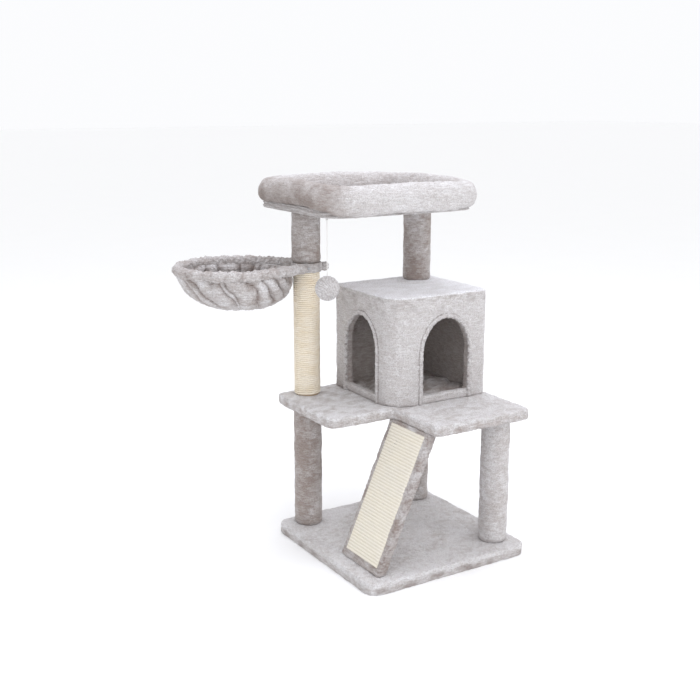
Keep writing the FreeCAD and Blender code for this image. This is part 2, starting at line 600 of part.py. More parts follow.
def make_ramp():
    core_depth = RAMP_THICKNESS - PLUSH
    middle = (RAMP_FRONT + RAMP_BACK) / 2
    mat_front, mat_back = middle - MAT_WIDTH / 2, middle + MAT_WIDTH / 2
    mat_low = BASE_THICKNESS + MAT_FOOT_MARGIN * RAMP_UP.z
    mat_high = PLATFORM_UNDER - MAT_TOP_MARGIN * RAMP_UP.z
    board = ramp_slab(PLUSH, core_depth, RAMP_FRONT + PLUSH, RAMP_BACK - PLUSH)
    board = bore(board, RAMP_FOOT_BOLTS, BASE_THICKNESS, BASE_THICKNESS + RAMP_BOLT_BITE, RAMP_BOLT_RADIUS)
    board = bore(board, RAMP_TOP_BOLTS, PLATFORM_UNDER - RAMP_BOLT_BITE, PLATFORM_UNDER, RAMP_BOLT_RADIUS)
    cover = ramp_slab(0, RAMP_THICKNESS, RAMP_FRONT, RAMP_BACK)
    long_edges = []
    for edge in cover.Edges:
        direction = edge.tangentAt(edge.FirstParameter)
        if abs(direction.dot(RAMP_UP)) > 0.999:
            long_edges.append(edge)
    cover = cover.makeFillet(RAMP_EDGE, long_edges)
    cover = cover.cut(ramp_slab(PLUSH, core_depth, RAMP_FRONT + PLUSH, RAMP_BACK - PLUSH))
    seat = ramp_slab(-2.0, PLUSH, mat_front, mat_back, mat_low, mat_high)
    cover = cover.cut(seat)
    mat = ramp_slab(PLUSH - MAT_THICKNESS, PLUSH, mat_front, mat_back, mat_low, mat_high)
    save(board, "ramp_board")
    save(cover, "ramp_cover")
    save(mat, "ramp_mat")
    foot_tip, top_tip = BASE_THICKNESS + RAMP_BOLT_BITE, PLATFORM_UNDER - RAMP_BOLT_BITE
    sizes = (RAMP_BOLT_RADIUS, RAMP_BOLT_HEAD_RADIUS)
    bolts = [bolt(x, y, LINER, foot_tip, *sizes) for x, y in RAMP_FOOT_BOLTS]
    bolts += [bolt(x, y, PLATFORM_TOP - PLUSH, top_tip, *sizes) for x, y in RAMP_TOP_BOLTS]
    save(Part.makeCompound(bolts), "ramp_bolts")


# ---- hanging ball ----
def make_ball():
    x, y = BALL_AT
    staple_low = PERCH_BOTTOM - STAPLE_DROP
    knot_z = staple_low - KNOT_HANG - KNOT_RADIUS
    string_top = knot_z - KNOT_RADIUS
    string_low = BALL_Z + BALL_RADIUS - STRING_BITE
    staple = Part.makeCylinder(STAPLE_WIRE, 2 * STAPLE_HALF_SPAN,
                               vec(x - STAPLE_HALF_SPAN, y, staple_low + STAPLE_WIRE), vec(1, 0, 0))
    for side in (-1, 1):
        staple = staple.fuse(disc(x + side * STAPLE_HALF_SPAN, y, staple_low, PERCH_BOTTOM, STAPLE_WIRE))
    save(staple, "string_staple")
    save(Part.makeSphere(KNOT_RADIUS, vec(x, y, knot_z)), "string_knot")
    string = disc(x, y, string_low, string_top, STRING_DIAMETER / 2)
    save(string, "ball_string")
    print("ball_string is one straight run, length", round(string_top - string_low, 1), "and has no arcs")
    ball = Part.makeSphere(BALL_RADIUS, vec(x, y, BALL_Z))
    core = Part.makeSphere(BALL_CORE_RADIUS, vec(x, y, BALL_Z))
    save(core, "ball_core")
    save(ball.cut(core).cut(string), "ball_plush")


make_base()
make_posts()
make_platform()
make_condo()
make_perch()
make_basket()
make_ramp()
make_ball()
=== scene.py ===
import json
from math import acos, atan2, ceil, cos, pi, radians, sin, sqrt, tan, tau

import bmesh
import bpy
import numpy as np
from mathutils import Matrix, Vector


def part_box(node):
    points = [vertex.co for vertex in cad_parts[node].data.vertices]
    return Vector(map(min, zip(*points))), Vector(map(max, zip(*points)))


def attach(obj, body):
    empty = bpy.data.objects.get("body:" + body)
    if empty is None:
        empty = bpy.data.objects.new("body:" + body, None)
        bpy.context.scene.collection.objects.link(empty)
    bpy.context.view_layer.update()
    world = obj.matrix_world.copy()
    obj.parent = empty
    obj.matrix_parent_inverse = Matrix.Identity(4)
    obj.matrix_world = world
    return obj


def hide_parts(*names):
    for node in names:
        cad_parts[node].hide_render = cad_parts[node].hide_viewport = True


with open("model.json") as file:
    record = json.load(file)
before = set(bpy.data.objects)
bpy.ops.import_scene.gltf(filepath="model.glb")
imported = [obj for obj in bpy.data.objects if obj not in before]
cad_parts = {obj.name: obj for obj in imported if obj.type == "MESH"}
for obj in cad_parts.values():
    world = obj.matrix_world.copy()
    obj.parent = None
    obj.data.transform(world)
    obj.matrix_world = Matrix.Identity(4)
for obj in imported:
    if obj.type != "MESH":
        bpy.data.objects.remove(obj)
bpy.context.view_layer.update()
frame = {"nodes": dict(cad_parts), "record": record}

# A plush cat tree. Everything is in metres, in the frame's axes: +X right, +Y back, +Z up, the floor at zero.

# ---- sizes that the frame's boxes don't give ----
BASE_CORNER = 0.03
PLATFORM_CORNER = 0.026
NOTCH = (-0.0556, -0.052)                 # inner corner of the platform's notch
CONDO_ROUND = 0.06                        # the condo's front left corner
CONDO_CORNER = 0.014
WALL = 0.018                              # plush, panel and lining together
DOOR_WIDTH = 0.148
DOOR_SILL, DOOR_SPRING, DOOR_APEX = 0.41, 0.522, 0.613
LEFT_DOOR_Y, FRONT_DOOR_X = 0.085, 0.096
POST_RADIUS = 0.037
TUBE_RADIUS = 0.03
ROPE_DIAMETER = 0.0054
ROPE_CREST = TUBE_RADIUS + ROPE_DIAMETER - 0.0009
ROPE_LAY = 0.014                          # length in which the strands go once round each other
CLAMP_Z = 0.7315                          # height of the hoop
HOOP_BEARING = radians(162)               # direction from the column to the basket's centre
HOOP_RADIUS, HOOP_REACH = 0.137, 0.19
SLEEVE_RADIUS = 0.0145
ARM_END = (0.008, 0.046)
BOWL_DEPTH, BOWL_LEAN = 0.106, 0.022
BOWL_NOSE, BOWL_NOSE_RADIUS = 0.066, 0.0175
BOWL_COLUMNS, BOWL_ROWS = 420, 64
COLLAR_RADIUS, TUFT_RADIUS = 0.0368, 0.0105
PIPING_HALF = (0.0066, 0.005)             # half its width on the wall and half its depth
PERCH_CORNER = 0.08
PERCH_BOARD_CORNER = PERCH_CORNER - 0.028
BOLSTER_HALF = (0.033, 0.041)             # half width and half height
BOLSTER_Z = 0.915
RAMP_THICKNESS = 0.028
MAT_RIBS = 44
BALL_AT = (-0.196, 0.035)
BALL_Z, BALL_RADIUS = 0.698, 0.03
STRING_ROUTE = [(*BALL_AT, 0.8624), (*BALL_AT, 0.794), (*BALL_AT, 0.725)]
STRING_DIAMETER = 0.002
COVER_VOXEL, PAD_VOXEL = 0.003, 0.0055    # how finely a board's cover and a pad are meshed

# ---- colours, linear ----
LIGHT_PILE = (0.765, 0.752, 0.757)
DARK_PILE = (0.368, 0.308, 0.28)
PAINTED_LIGHT_PILE = (0.96, 0.96, 1.0)             # painted light: the pale, cool colour of pile painted as more lit
PARTING_AND_SHADOW = (0.2, 0.155, 0.14)          # the backing and shadow that show where the pile parts or folds
ROPE_CREAM, ROPE_TAN = (0.95, 0.9, 0.8), (0.7, 0.58, 0.41)
MAT_CREAM, MAT_TAN = (0.81, 0.77, 0.69), (0.6, 0.53, 0.4)

# ---- how the plush lies ----
# where the bolster puckers: angle round its path, depth and lean
BOLSTER_PUCKERS = ((0.35, 0.8, 0.1), (1.05, 0.6, -0.12), (1.75, 0.9, 0.1), (2.55, 0.6, 0.1),
                   (3.3, 1.0, -0.1), (3.95, 0.9, 0.12), (4.35, 1.0, -0.08), (4.75, 0.6, 0.1),
                   (5.3, 0.9, 0.1), (5.9, 0.7, -0.1))
# how much darker each post's pile is painted: partly its nap, partly painted shade on the posts away from the
# light
POST_TONES = {"lower_left_post": 0.58, "lower_front_post": 0.04, "lower_back_post": 0.44, "roof_post": 0.5,
              "upper_left_post": 0.42}
# the creases of the bowl's outer and inner face: their number, seed and lean, where they begin and fade on
# the way down, and the roundness of the cloth between them
OUTER_CREASES = ((20, 124, 0.5), (-0.02, 0.1), (0.5, 0.95), 1.2)
INNER_CREASES = ((23, 125, 0.15), (-0.02, 0.12), (0.45, 0.9), 0.8)


def add_object(name, data):
    obj = bpy.data.objects.new(name, data)
    bpy.context.scene.collection.objects.link(obj)
    return obj


# ---- camera, lights, floor ----
def make_camera():
    camera = add_object("camera", bpy.data.cameras.new("camera"))
    camera.location = (-1.4668, -2.1365, 1.1479)
    yaw, down = radians(31.6), radians(13.52)
    forward = Vector((sin(yaw) * cos(down), cos(yaw) * cos(down), -sin(down)))
    camera.rotation_euler = forward.to_track_quat("-Z", "Y").to_euler()
    camera.data.sensor_width = 36
    camera.data.lens = 53.65
    bpy.context.scene.camera = camera


def area_light(name, place, size, power, colour):
    """A round lamp aimed at the middle of the tree."""
    data = bpy.data.lights.new(name, "AREA")
    data.shape, data.size, data.energy, data.color = "DISK", size, power, colour
    lamp = add_object(name, data)
    lamp.location = place
    lamp.rotation_euler = (Vector((0, 0, 0.5)) - Vector(place)).to_track_quat("-Z", "Y").to_euler()


def make_studio():
    world = bpy.data.worlds.new("studio")
    world.use_nodes = True
    world.node_tree.nodes["Background"].inputs["Color"].default_value = (0.98, 0.985, 1.0, 1)
    world.node_tree.nodes["Background"].inputs["Strength"].default_value = 0.99
    bpy.context.scene.world = world
    area_light("key", (1.3, -2.8, 1.7), 1.2, 12, (1.0, 0.985, 0.96))
    area_light("top", (0.2, 0.3, 3.2), 2.4, 34, (0.86, 0.89, 1.0))
    area_light("top_front", (-0.5, -2.3, 3.1), 1.6, 22, (0.9, 0.92, 1.0))
    area_light("left_front", (-2.3, -2.0, 2.0), 1.4, 5, (0.97, 0.98, 1.0))
    r = 40
    floor = build("floor", [(-r, -r, 0), (r, -r, 0), (r, r, 0), (-r, r, 0)], [range(4)])
    floor.data.materials.append(floor_material())
    bpy.context.scene.view_settings.view_transform = "Standard"


# ---- mesh tools ----
def build(name, points, faces):
    mesh = bpy.data.meshes.new(name)
    mesh.from_pydata([tuple(p) for p in points], [], [tuple(f) for f in faces])
    mesh.update()
    return add_object(name, mesh)


def vectors_in(rows, name):
    flat = np.empty(len(rows) * 3)
    rows.foreach_get(name, flat)
    return flat.reshape(-1, 3)


def points_of(obj):
    return vectors_in(obj.data.vertices, "co")


def normals_of(obj):
    return vectors_in(obj.data.vertex_normals, "vector")


def move_points(obj, points):
    obj.data.vertices.foreach_set("co", np.asarray(points, float).ravel())
    obj.data.update()


def push(obj, distance):
    """Moves each point along its normal."""
    move_points(obj, points_of(obj) + normals_of(obj) * np.asarray(distance)[:, None])


def keep_between(obj, lowest, highest=None):
    """Keeps the points between two heights."""
    points = points_of(obj)
    points[:, 2] = np.clip(points[:, 2], lowest, highest)
    move_points(obj, points)


def mark(obj, name, amount):
    """Stores a number from -1 to 1 for each point, for the material to read."""
    attribute = obj.data.attributes.get(name) or obj.data.attributes.new(name, "FLOAT", "POINT")
    values = np.broadcast_to(np.clip(amount, -1, 1), len(obj.data.vertices))
    attribute.data.foreach_set("value", values.astype(np.float32))


def shade(obj, amount):
    """Painted shade: how far each point's pile parts and how deep it lies in a fold or recess, from 0 to 1.
    """
    mark(obj, "parted", np.maximum(amount, 0))


def paint_nap_and_light(obj, amount):
    """How far each point's pile is painted darker, partly as pile that lies the other way and partly as
    painted shade. Below 0 it is painted lighter: painted light.
    """
    mark(obj, "brushed", amount)


def unit(rows):
    return rows / np.linalg.norm(rows, axis=1)[:, None]


def circle(count):
    """Evenly spaced angles round a full turn."""
    return np.linspace(0, tau, count, endpoint=False)


def wrapped(angle):
    """The same angle, from minus half a turn to half a turn."""
    return (angle + pi) % tau - pi


def middle_of(low, high):
    return (np.array(low) + np.array(high)) / 2


def wobble(points, wavelength, seed, waves=14):
    """A smooth random field over space, mostly within -1 and 1."""
    rng = np.random.default_rng(seed)
    directions = unit(rng.normal(size=(waves, 3)))
    rates = tau / (wavelength * rng.uniform(0.7, 1.6, waves))
    phases = rng.uniform(0, tau, waves)
    return np.sin(points @ (directions * rates[:, None]).T + phases).sum(1) / sqrt(waves)


def wobbles(points, *fields):
    """Wobbles added up, each given as its height and then what wobble takes."""
    return sum(height * wobble(points, *field) for height, *field in fields)


def ease(values, low, high):
    """Goes smoothly from 0 at low to 1 at high."""
    t = np.clip((values - low) / (high - low), 0, 1)
    return t * t * (3 - 2 * t)


def settle(obj):
    """Turns an object's modifiers into its mesh."""
    bpy.context.view_layer.update()
    evaluated = obj.evaluated_get(bpy.context.evaluated_depsgraph_get())
    mesh = bpy.data.meshes.new_from_object(evaluated)
    obj.modifiers.clear()
    obj.data = mesh


def face_outwards(obj):
    bm = bmesh.new()
    bm.from_mesh(obj.data)
    bmesh.ops.recalc_face_normals(bm, faces=bm.faces)
    bm.to_mesh(obj.data)
    bm.free()


def cloth_solid(obj, voxel, passes):
    """Remeshes a closed solid evenly and rounds its edges, as cloth does over a board."""
    remesh = obj.modifiers.new("remesh", "REMESH")
    remesh.mode, remesh.voxel_size = "VOXEL", voxel
    smooth = obj.modifiers.new("smooth", "SMOOTH")
    smooth.factor, smooth.iterations = 0.5, passes
    settle(obj)


def prism(name, outline, along):
    """A closed solid: a flat outline of points, and its copy moved along a vector."""
    count = len(outline)
    near = [Vector(p) for p in outline]
    far = [p + Vector(along) for p in near]
    sides = [(i, (i + 1) % count, count + (i + 1) % count, count + i) for i in range(count)]
    obj = build(name, near + far, [range(count), range(count, 2 * count)] + sides)
    face_outwards(obj)
    return obj


def cut(obj, cutter):
    boolean = obj.modifiers.new("cut", "BOOLEAN")
    boolean.operation, boolean.solver, boolean.object = "DIFFERENCE", "EXACT", cutter
    settle(obj)
    bpy.data.objects.remove(cutter)


def rounded(corners, step=0.002):
    """Points (x, y) round a counter-clockwise outline of corners (x, y, radius)."""
    points = []
    for i, (x, y, radius) in enumerate(corners):
        here = Vector((x, y))
        to_before = (Vector(corners[i - 1][:2]) - here).normalized()
        to_after = (Vector(corners[(i + 1) % len(corners)][:2]) - here).normalized()
        half = to_before.angle(to_after) / 2
        centre = here + (to_before + to_after).normalized() * (radius / sin(half))
        start = here + to_before * (radius / tan(half)) - centre
        end = here + to_after * (radius / tan(half)) - centre
        first = atan2(start.y, start.x)
        sweep = wrapped(atan2(end.y, end.x) - first)
        steps = max(2, ceil(abs(sweep) * radius / step))
        for k in range(steps + 1):
            angle = first + sweep * k / steps
            points.append((centre.x + radius * cos(angle), centre.y + radius * sin(angle)))
    return points


def rectangle(low, high, radius, inset=0.0):
    x0, y0, x1, y1 = low[0] + inset, low[1] + inset, high[0] - inset, high[1] - inset
    return [(x0, y0, radius), (x1, y0, radius), (x1, y1, radius), (x0, y1, radius)]


def within(points, low, high, radius, margin=0.001):
    """Which points are inside an upright box with rounded corners."""
    half = (np.array(high) - np.array(low)) / 2
    past = np.abs(points[:, :2] - middle_of(low, high)[:2]) - (half[:2] - radius)
    outside = np.linalg.norm(np.maximum(past, 0), axis=1) + np.minimum(past.max(1), 0) - radius
    return outside < margin


def slab(name, corners, z0, z1):
    return prism(name, [(x, y, z0) for x, y in rounded(corners)], (0, 0, z1 - z0))


def skin(name, rings, closed=False):
    """Joins rings of points (rows x columns x 3). An open skin gets a fan over each end."""
    points = rings.reshape(-1, 3)
    here = np.arange(len(points)).reshape(rings.shape[:2])
    following = np.roll(here, -1, 1)
    quads = np.stack([here, following, np.roll(following, -1, 0), np.roll(here, -1, 0)], -1)
    faces = (quads if closed else quads[:-1]).reshape(-1, 4).tolist()
    if not closed:
        for first, last in zip(np.stack([following[0], here[0]], 1), np.stack([here[-1], following[-1]], 1)):
            faces += [(*first.tolist(), len(points)), (*last.tolist(), len(points) + 1)]
        points = np.vstack([points, rings[0].mean(0), rings[-1].mean(0)])
    obj = build(name, points, faces)
    face_outwards(obj)
    return obj


def along_path(path, closed):
    """Unit tangents and sideways vectors of a path that stays level."""
    if closed:
        tangents = np.roll(path, -1, 0) - np.roll(path, 1, 0)
    else:
        tangents = np.gradient(path, axis=0)
    tangents = unit(tangents)
    return tangents, unit(np.cross(tangents, (0, 0, 1.0)))


def resample(points, count, closed=True):
    """Evenly spaced points along a polyline."""
    points = np.asarray(points, float)
    if closed:
        points = np.vstack([points, points[:1]])
    lengths = np.concatenate([[0], np.cumsum(np.linalg.norm(np.diff(points, axis=0), axis=1))])
    places = np.linspace(0, lengths[-1], count, endpoint=not closed)
    return np.stack([np.interp(places, lengths, points[:, k]) for k in range(points.shape[1])], 1)


def tube(path, radius, section, sideways, up=((0, 0, 1.0),)):
    """Rings of points round a path, at each angle of the section, from sideways towards up."""
    cosines, sines = np.cos(section)[None, :, None], np.sin(section)[None, :, None]
    outward = cosines * sideways[:, None] + sines * np.asarray(up)[:, None]
    return path[:, None] + np.asarray(radius)[..., None] * outward


def sphere(rows, columns, gap):
    """Directions from a ball's middle, by latitude and longitude, with a gap in radians at each pole."""
    lat, lon = np.meshgrid(np.linspace(gap, pi - gap, rows), circle(columns), indexing="ij")
    return np.stack([np.sin(lat) * np.cos(lon), np.sin(lat) * np.sin(lon), np.cos(lat)], -1)


def squarer(wave, power):
    """A sine or cosine with flatter crests, for a power below 1."""
    return np.sign(wave) * np.abs(wave) ** power


def with_ends(values, ends=(0, 0)):
    """A number for each point of an open skin: its rings' points, then the middles of its two fans."""
    return np.concatenate([np.ravel(values), ends])


def subdivide(obj):
    modifier = obj.modifiers.new("subdivide", "SUBSURF")
    modifier.levels = modifier.render_levels = 1
    settle(obj)


def paint(obj, material):
    obj.data.materials.clear()
    obj.data.materials.append(material)


def piece(obj, body, material, slot, *replaced):
    obj.data.name = obj.name
    paint(obj, material)
    obj.data.polygons.foreach_set("use_smooth", [True] * len(obj.data.polygons))
    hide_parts(*replaced)
    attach(obj, body)


def inflate(obj, pressure, slack, pinned, cap, frames=20):
    """Swells a skin by cloth simulation. Slack cloth wrinkles, and no point moves farther than the cap."""
    rest = points_of(obj)
    group = obj.vertex_groups.new(name="pinned")
    group.add([int(i) for i in np.flatnonzero(pinned)], 1.0, "REPLACE")
    cloth = obj.modifiers.new("cloth", "CLOTH")
    settings = cloth.settings
    settings.quality = 6
    settings.mass = 0.3
    settings.tension_stiffness = settings.compression_stiffness = settings.shear_stiffness = 12
    settings.bending_stiffness = 0.4
    settings.use_pressure = True
    settings.uniform_pressure_force = pressure
    settings.shrink_min = -slack
    settings.vertex_group_mass = "pinned"
    settings.effector_weights.gravity = 0
    for number in range(1, frames + 1):
        bpy.context.scene.frame_set(number)
    settle(obj)
    bpy.context.scene.frame_set(1)
    moved = points_of(obj) - rest
    length = np.maximum(np.linalg.norm(moved, axis=1), 1e-9)
    move_points(obj, rest + moved * np.minimum(1, cap / length)[:, None])


# ---- materials ----
class Value:
    """A node's output, which can be added to and multiplied like a number."""

    def __init__(self, shader, socket):
        self.shader, self.socket = shader, socket

    def maths(self, operation, other):
        return self.shader.node("Math", "Value", {0: self, 1: other}, operation=operation)

    def __add__(self, other):
        return self.maths("ADD", other)

    def __sub__(self, other):
        return self.maths("SUBTRACT", other)

    def __mul__(self, other):
        return self.maths("MULTIPLY", other)

    def at_least(self, limit):
        return self.maths("MAXIMUM", limit)

    def at_most(self, limit):
        return self.maths("MINIMUM", limit)

    def spread(self, low, high):
        """A value from low to high becomes 0 to 1."""
        inputs = {"Value": self, "From Min": low, "From Max": high}
        return self.shader.node("MapRange", "Result", inputs)


class Shader:
    """A material's node tree, with short calls to add and join nodes."""

    def __init__(self, name, roughness=0.9):
        self.material = bpy.data.materials.new(name)
        self.material.use_nodes = True
        self.tree = self.material.node_tree
        self.surface = self.tree.nodes["Principled BSDF"]
        self.surface.inputs["Roughness"].default_value = roughness

    def feed(self, socket, value):
        if isinstance(value, Value):
            self.tree.links.new(value.socket, socket)
        else:
            socket.default_value = value

    def node(self, kind, output, inputs, **settings):
        """Adds a node, sets or joins its inputs, and gives back one of its outputs."""
        made = self.tree.nodes.new("ShaderNode" + kind)
        for key, value in settings.items():
            setattr(made, key, value)
        for key, value in inputs.items():
            self.feed(made.inputs[key], value)
        return Value(self, made.outputs[output])

    def place(self, scale):
        """Object coordinates, stretched by a scale per axis, in cycles to a metre."""
        here = self.node("TexCoord", "Object", {})
        return self.node("Mapping", "Vector", {"Vector": here, "Scale": scale})

    def noise(self, scale, detail=2.0, distortion=0.0):
        inputs = {"Vector": self.place(scale), "Scale": 1.0, "Detail": detail, "Distortion": distortion}
        return self.node("TexNoise", "Fac", inputs)

    def rows(self, direction, spacing, distortion):
        """Bands at a spacing in metres along an axis."""
        inputs = {"Vector": self.place((1, 1, 1)), "Scale": tau / (20 * spacing),
                  "Distortion": distortion, "Detail": 2, "Detail Scale": 1.5}
        return self.node("TexWave", "Fac", inputs, bands_direction=direction)

    def mix(self, share, a, b):
        a, b = (value if isinstance(value, Value) else (*value, 1) for value in (a, b))
        return self.node("Mix", 2, {"Factor": share, 6: a, 7: b}, data_type="RGBA")

    def attribute(self, name):
        return self.node("Attribute", "Fac", {}, attribute_name=name)

    def bump(self, height, distance, strength=1.0):
        relief = {"Height": height, "Distance": distance, "Strength": strength}
        self.feed(self.surface.inputs["Normal"], self.node("Bump", "Normal", relief))

    def colour(self, value):
        self.feed(self.surface.inputs["Base Color"], value)

    def sheen(self, weight, roughness, tint):
        values = {"Sheen Weight": weight, "Sheen Roughness": roughness, "Sheen Tint": (*tint, 1),
                  "Specular IOR Level": 0.2}
        for name, value in values.items():
            self.surface.inputs[name].default_value = value


def plush_material(name, contrast=1.0, streak=(22, 22, 60), patch=(9, 9, 13)):
    """Short brushed pile: darker in patches and streaks that lie the other way, with fine rows and fibres.
    Point attributes add painted shade, toward the backing colour, and painted light, paler and cooler.
    """
    s = Shader(name)
    nap = s.noise(patch, 3, 1.0).spread(0.44, 0.66)
    streaks = s.noise(streak, 4, 0.7).spread(0.42, 0.68)
    lines = s.noise((62, 62, 300), 3, 0.3).spread(0.42, 0.58)
    tufts = s.noise((400, 400, 400), 3)
    clumps = s.noise((210, 210, 260), 3, 0.6).spread(0.43, 0.6)
    brushed, parted = s.attribute("brushed"), s.attribute("parted")
    share = (nap * 0.15 + streaks * 0.2 + clumps * 0.17 - 0.22) * contrast
    # the brushed attribute darkens the pile: its nap, and painted shade
    share = share + lines * (0.16 + 0.12 * contrast) + 0.1 + brushed
    colour = s.mix(share.at_least(0.0).at_most(1.0), LIGHT_PILE, DARK_PILE)
    # below 0 the brushed attribute paints the pile paler and cooler: painted light
    colour = s.mix((brushed * -1.0).at_least(0.0), colour, PAINTED_LIGHT_PILE)
    colour = s.mix(tufts.spread(0.58, 0.36) * 0.38, colour, PARTING_AND_SHADOW)
    # darker toward the backing colour where shade() has marked the points: painted shade in folds and
    # recesses, with the pile's speckle
    speckled = parted * ((lines * 0.4 + 0.8) * tufts.spread(0.2, 0.6))
    s.colour(s.mix(speckled.at_most(0.85), colour, PARTING_AND_SHADOW))
    s.bump(tufts * 0.9 + clumps * 0.5 + lines * 0.45, 0.0024, 0.9)
    s.sheen(0.28, 0.45, (1.0, 0.98, 0.97))
    return s.material


def rope_material():
    s = Shader("sisal_rope", 0.85)
    fibres = s.noise((900, 900, 2600), 3, 0.3)
    patches = s.noise((26, 26, 60), 3, 0.5).spread(0.42, 0.66)
    turns = s.noise((40, 40, 420), 3, 0.2).spread(0.42, 0.62)
    colour = s.mix(patches * 0.55, ROPE_CREAM, (0.84, 0.74, 0.56))
    colour = s.mix(turns * 0.28, colour, ROPE_TAN)
    colour = s.mix(fibres.spread(0.58, 0.32) * 0.5, colour, ROPE_TAN)
    # darker where shade() has marked the points: painted shade between the strands
    s.colour(s.mix(s.attribute("parted") * 0.45, colour, (0.5, 0.38, 0.24)))
    s.bump(fibres, 0.0005, 0.8)
    s.sheen(0.12, 0.5, (1, 0.95, 0.85))
    return s.material


def mat_material():
    s = Shader("sisal_mat", 0.88)
    fibres = s.noise((700, 1500, 700), 3, 0.3)
    patches = s.noise((40, 14, 40), 2).spread(0.35, 0.7)
    colour = s.mix(patches * 0.35, MAT_CREAM, (0.86, 0.8, 0.66))
    # darker where shade() has marked the points: painted shade in the grooves
    dark = fibres.spread(0.6, 0.34) * 0.3 + s.attribute("parted") * 0.45
    s.colour(s.mix(dark.at_most(0.9), colour, MAT_TAN))
    s.bump(s.rows("Y", 0.003, 0.6) * 0.6 + fibres, 0.0006, 0.8)
    s.sheen(0.08, 0.5, (1, 0.96, 0.88))
    return s.material


def steel_material():
    s = Shader("zinc_steel", 0.32)
    brushed = s.noise((300, 300, 2400), 2)
    s.surface.inputs["Metallic"].default_value = 1.0
    s.colour(s.mix(brushed.spread(0.3, 0.7), (0.62, 0.63, 0.65), (0.47, 0.48, 0.5)))
    s.feed(s.surface.inputs["Roughness"], brushed.spread(-0.8, 2.2))
    s.bump(brushed, 0.0001, 0.3)
    return s.material


def board_material():
    s = Shader("particle_board", 0.8)
    chips = s.node("TexVoronoi", "Distance", {"Vector": s.place((260, 260, 420)), "Scale": 1.0})
    fleck = chips.spread(0.1, 0.8)
    colour = s.mix(fleck, (0.56, 0.42, 0.26), (0.36, 0.25, 0.14))
    s.colour(s.mix(s.noise((60, 60, 60), 3) * 0.5, colour, (0.66, 0.53, 0.36)))
    s.bump(fleck, 0.0003, 0.6)
    return s.material


def cardboard_material():
    s = Shader("cardboard_tube", 0.85)
    plies = s.rows("DIAGONAL", 0.045, 0.3)
    fibres = s.noise((500, 500, 900), 3)
    colour = s.mix(plies, (0.46, 0.33, 0.21), (0.4, 0.28, 0.17))
    s.colour(s.mix(fibres * 0.5, colour, (0.56, 0.43, 0.29)))
    s.bump(fibres, 0.0002, 0.5)
    return s.material


def liner_material():
    s = Shader("underside_sheet", 0.9)
    fibres = s.noise((600, 600, 600), 4, 1.2)
    embossed = s.rows("X", 0.003, 0.0) * s.rows("Y", 0.003, 0.0)
    s.colour(s.mix(fibres, (0.018, 0.018, 0.019), (0.045, 0.045, 0.047)))
    s.bump(fibres + embossed, 0.0004, 0.6)
    return s.material


def string_material():
    s = Shader("white_string", 0.7)
    braid = s.rows("Z", 0.0011, 0.4)
    s.colour(s.mix(braid * 0.5, (0.88, 0.87, 0.85), (0.62, 0.6, 0.57)))
    s.bump(braid, 0.0003, 0.7)
    s.sheen(0.2, 0.4, (1, 1, 1))
    return s.material


def floor_material():
    s = Shader("studio_floor", 0.75)
    s.colour(s.mix(s.noise((3, 3, 3), 2), (0.97, 0.97, 0.97), (0.985, 0.985, 0.985)))
    return s.material


# ---- base, platform and ramp ----
def pile_relief(obj, seed, long=0.0005, short=0.00035):
    """Low swells and clumps of pile over a plush surface."""
    push(obj, wobbles(points_of(obj), (long, 0.045, seed), (short, 0.011, seed + 1, 20)))


def rough_sides(obj, *fields):
    """Wobbles on a board's upright sides, where its cover is loose."""
    push(obj, (1 - np.abs(normals_of(obj)[:, 2])) * wobbles(points_of(obj), *fields))


def make_base(plush):
    low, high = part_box("base_cover")
    obj = slab("base_plush", rectangle(low, high, BASE_CORNER), 0, high.z)
    recess = rectangle(*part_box("base_liner"), BASE_CORNER - 0.005, -0.0005)
    cut(obj, slab("recess", recess, -0.01, 0.0025))
    cloth_solid(obj, COVER_VOXEL, 5)
    rough_sides(obj, (0.0007, 0.013, 14, 20), (0.0006, 0.05, 15))
    pile_relief(obj, 11)
    points = points_of(obj)
    rim = (np.abs(points[:, :2]) - (high.x - 0.006, high.y - 0.006)).max(1)
    side = ease(rim, -0.004, 0.004) * ease(points[:, 2], 0.022, 0.01)
    patches = ease(wobble(points, 0.05, 13), -0.2, 1.0)
    # painted shade on the lower sides near the floor, in patches; the top is painted paler: painted light
    shade(obj, side * (0.18 + 0.4 * patches))
    paint_nap_and_light(obj, side * (0.18 + 0.2 * patches) - 0.1 + 0.06 * wobble(points * (1, 2, 1), 0.07, 16))
    keep_between(obj, 0.0002)
    piece(obj, "root", plush, "plush", "base_cover")


def make_platform(plush):
    low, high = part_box("platform_cover")
    corners = [(NOTCH[0], low.y, PLATFORM_CORNER / 2), (high.x, low.y, PLATFORM_CORNER),
               (high.x, high.y, PLATFORM_CORNER), (low.x, high.y, PLATFORM_CORNER),
               (low.x, NOTCH[1], PLATFORM_CORNER), (*NOTCH, 0.009)]
    obj = slab("platform_plush", corners, low.z, high.z)
    cloth_solid(obj, COVER_VOXEL, 9)
    rough_sides(obj, (0.0008, 0.013, 26, 20), (0.0009, 0.06, 27))
    pile_relief(obj, 21)
    points = points_of(obj)
    x, _, z = points.T
    # painted shade on the underside
    underside = ease(z, low.z + 0.01, low.z + 0.002)
    shade(obj, underside * (0.12 + 0.25 * ease(wobble(points, 0.05, 23), 0.0, 1.2)))
    # the left wing is painted paler (painted light), and all below the top's rim is painted darker (painted
    # shade)
    left_wing = ease(x, -0.02, -0.12)
    edge = ease(z, high.z - 0.004, high.z - 0.012)
    streaks = wobble(points * (1, 2.2, 1), 0.05, 24)
    fine = wobble(points * (1, 2.5, 1), 0.022, 25)
    uneven = (0.11 * streaks + 0.07 * fine) * (0.7 + 0.6 * left_wing)
    paint_nap_and_light(obj, -0.03 - 0.08 * left_wing + 0.28 * edge + uneven)
    piece(obj, "root", plush, "plush", "platform_cover")


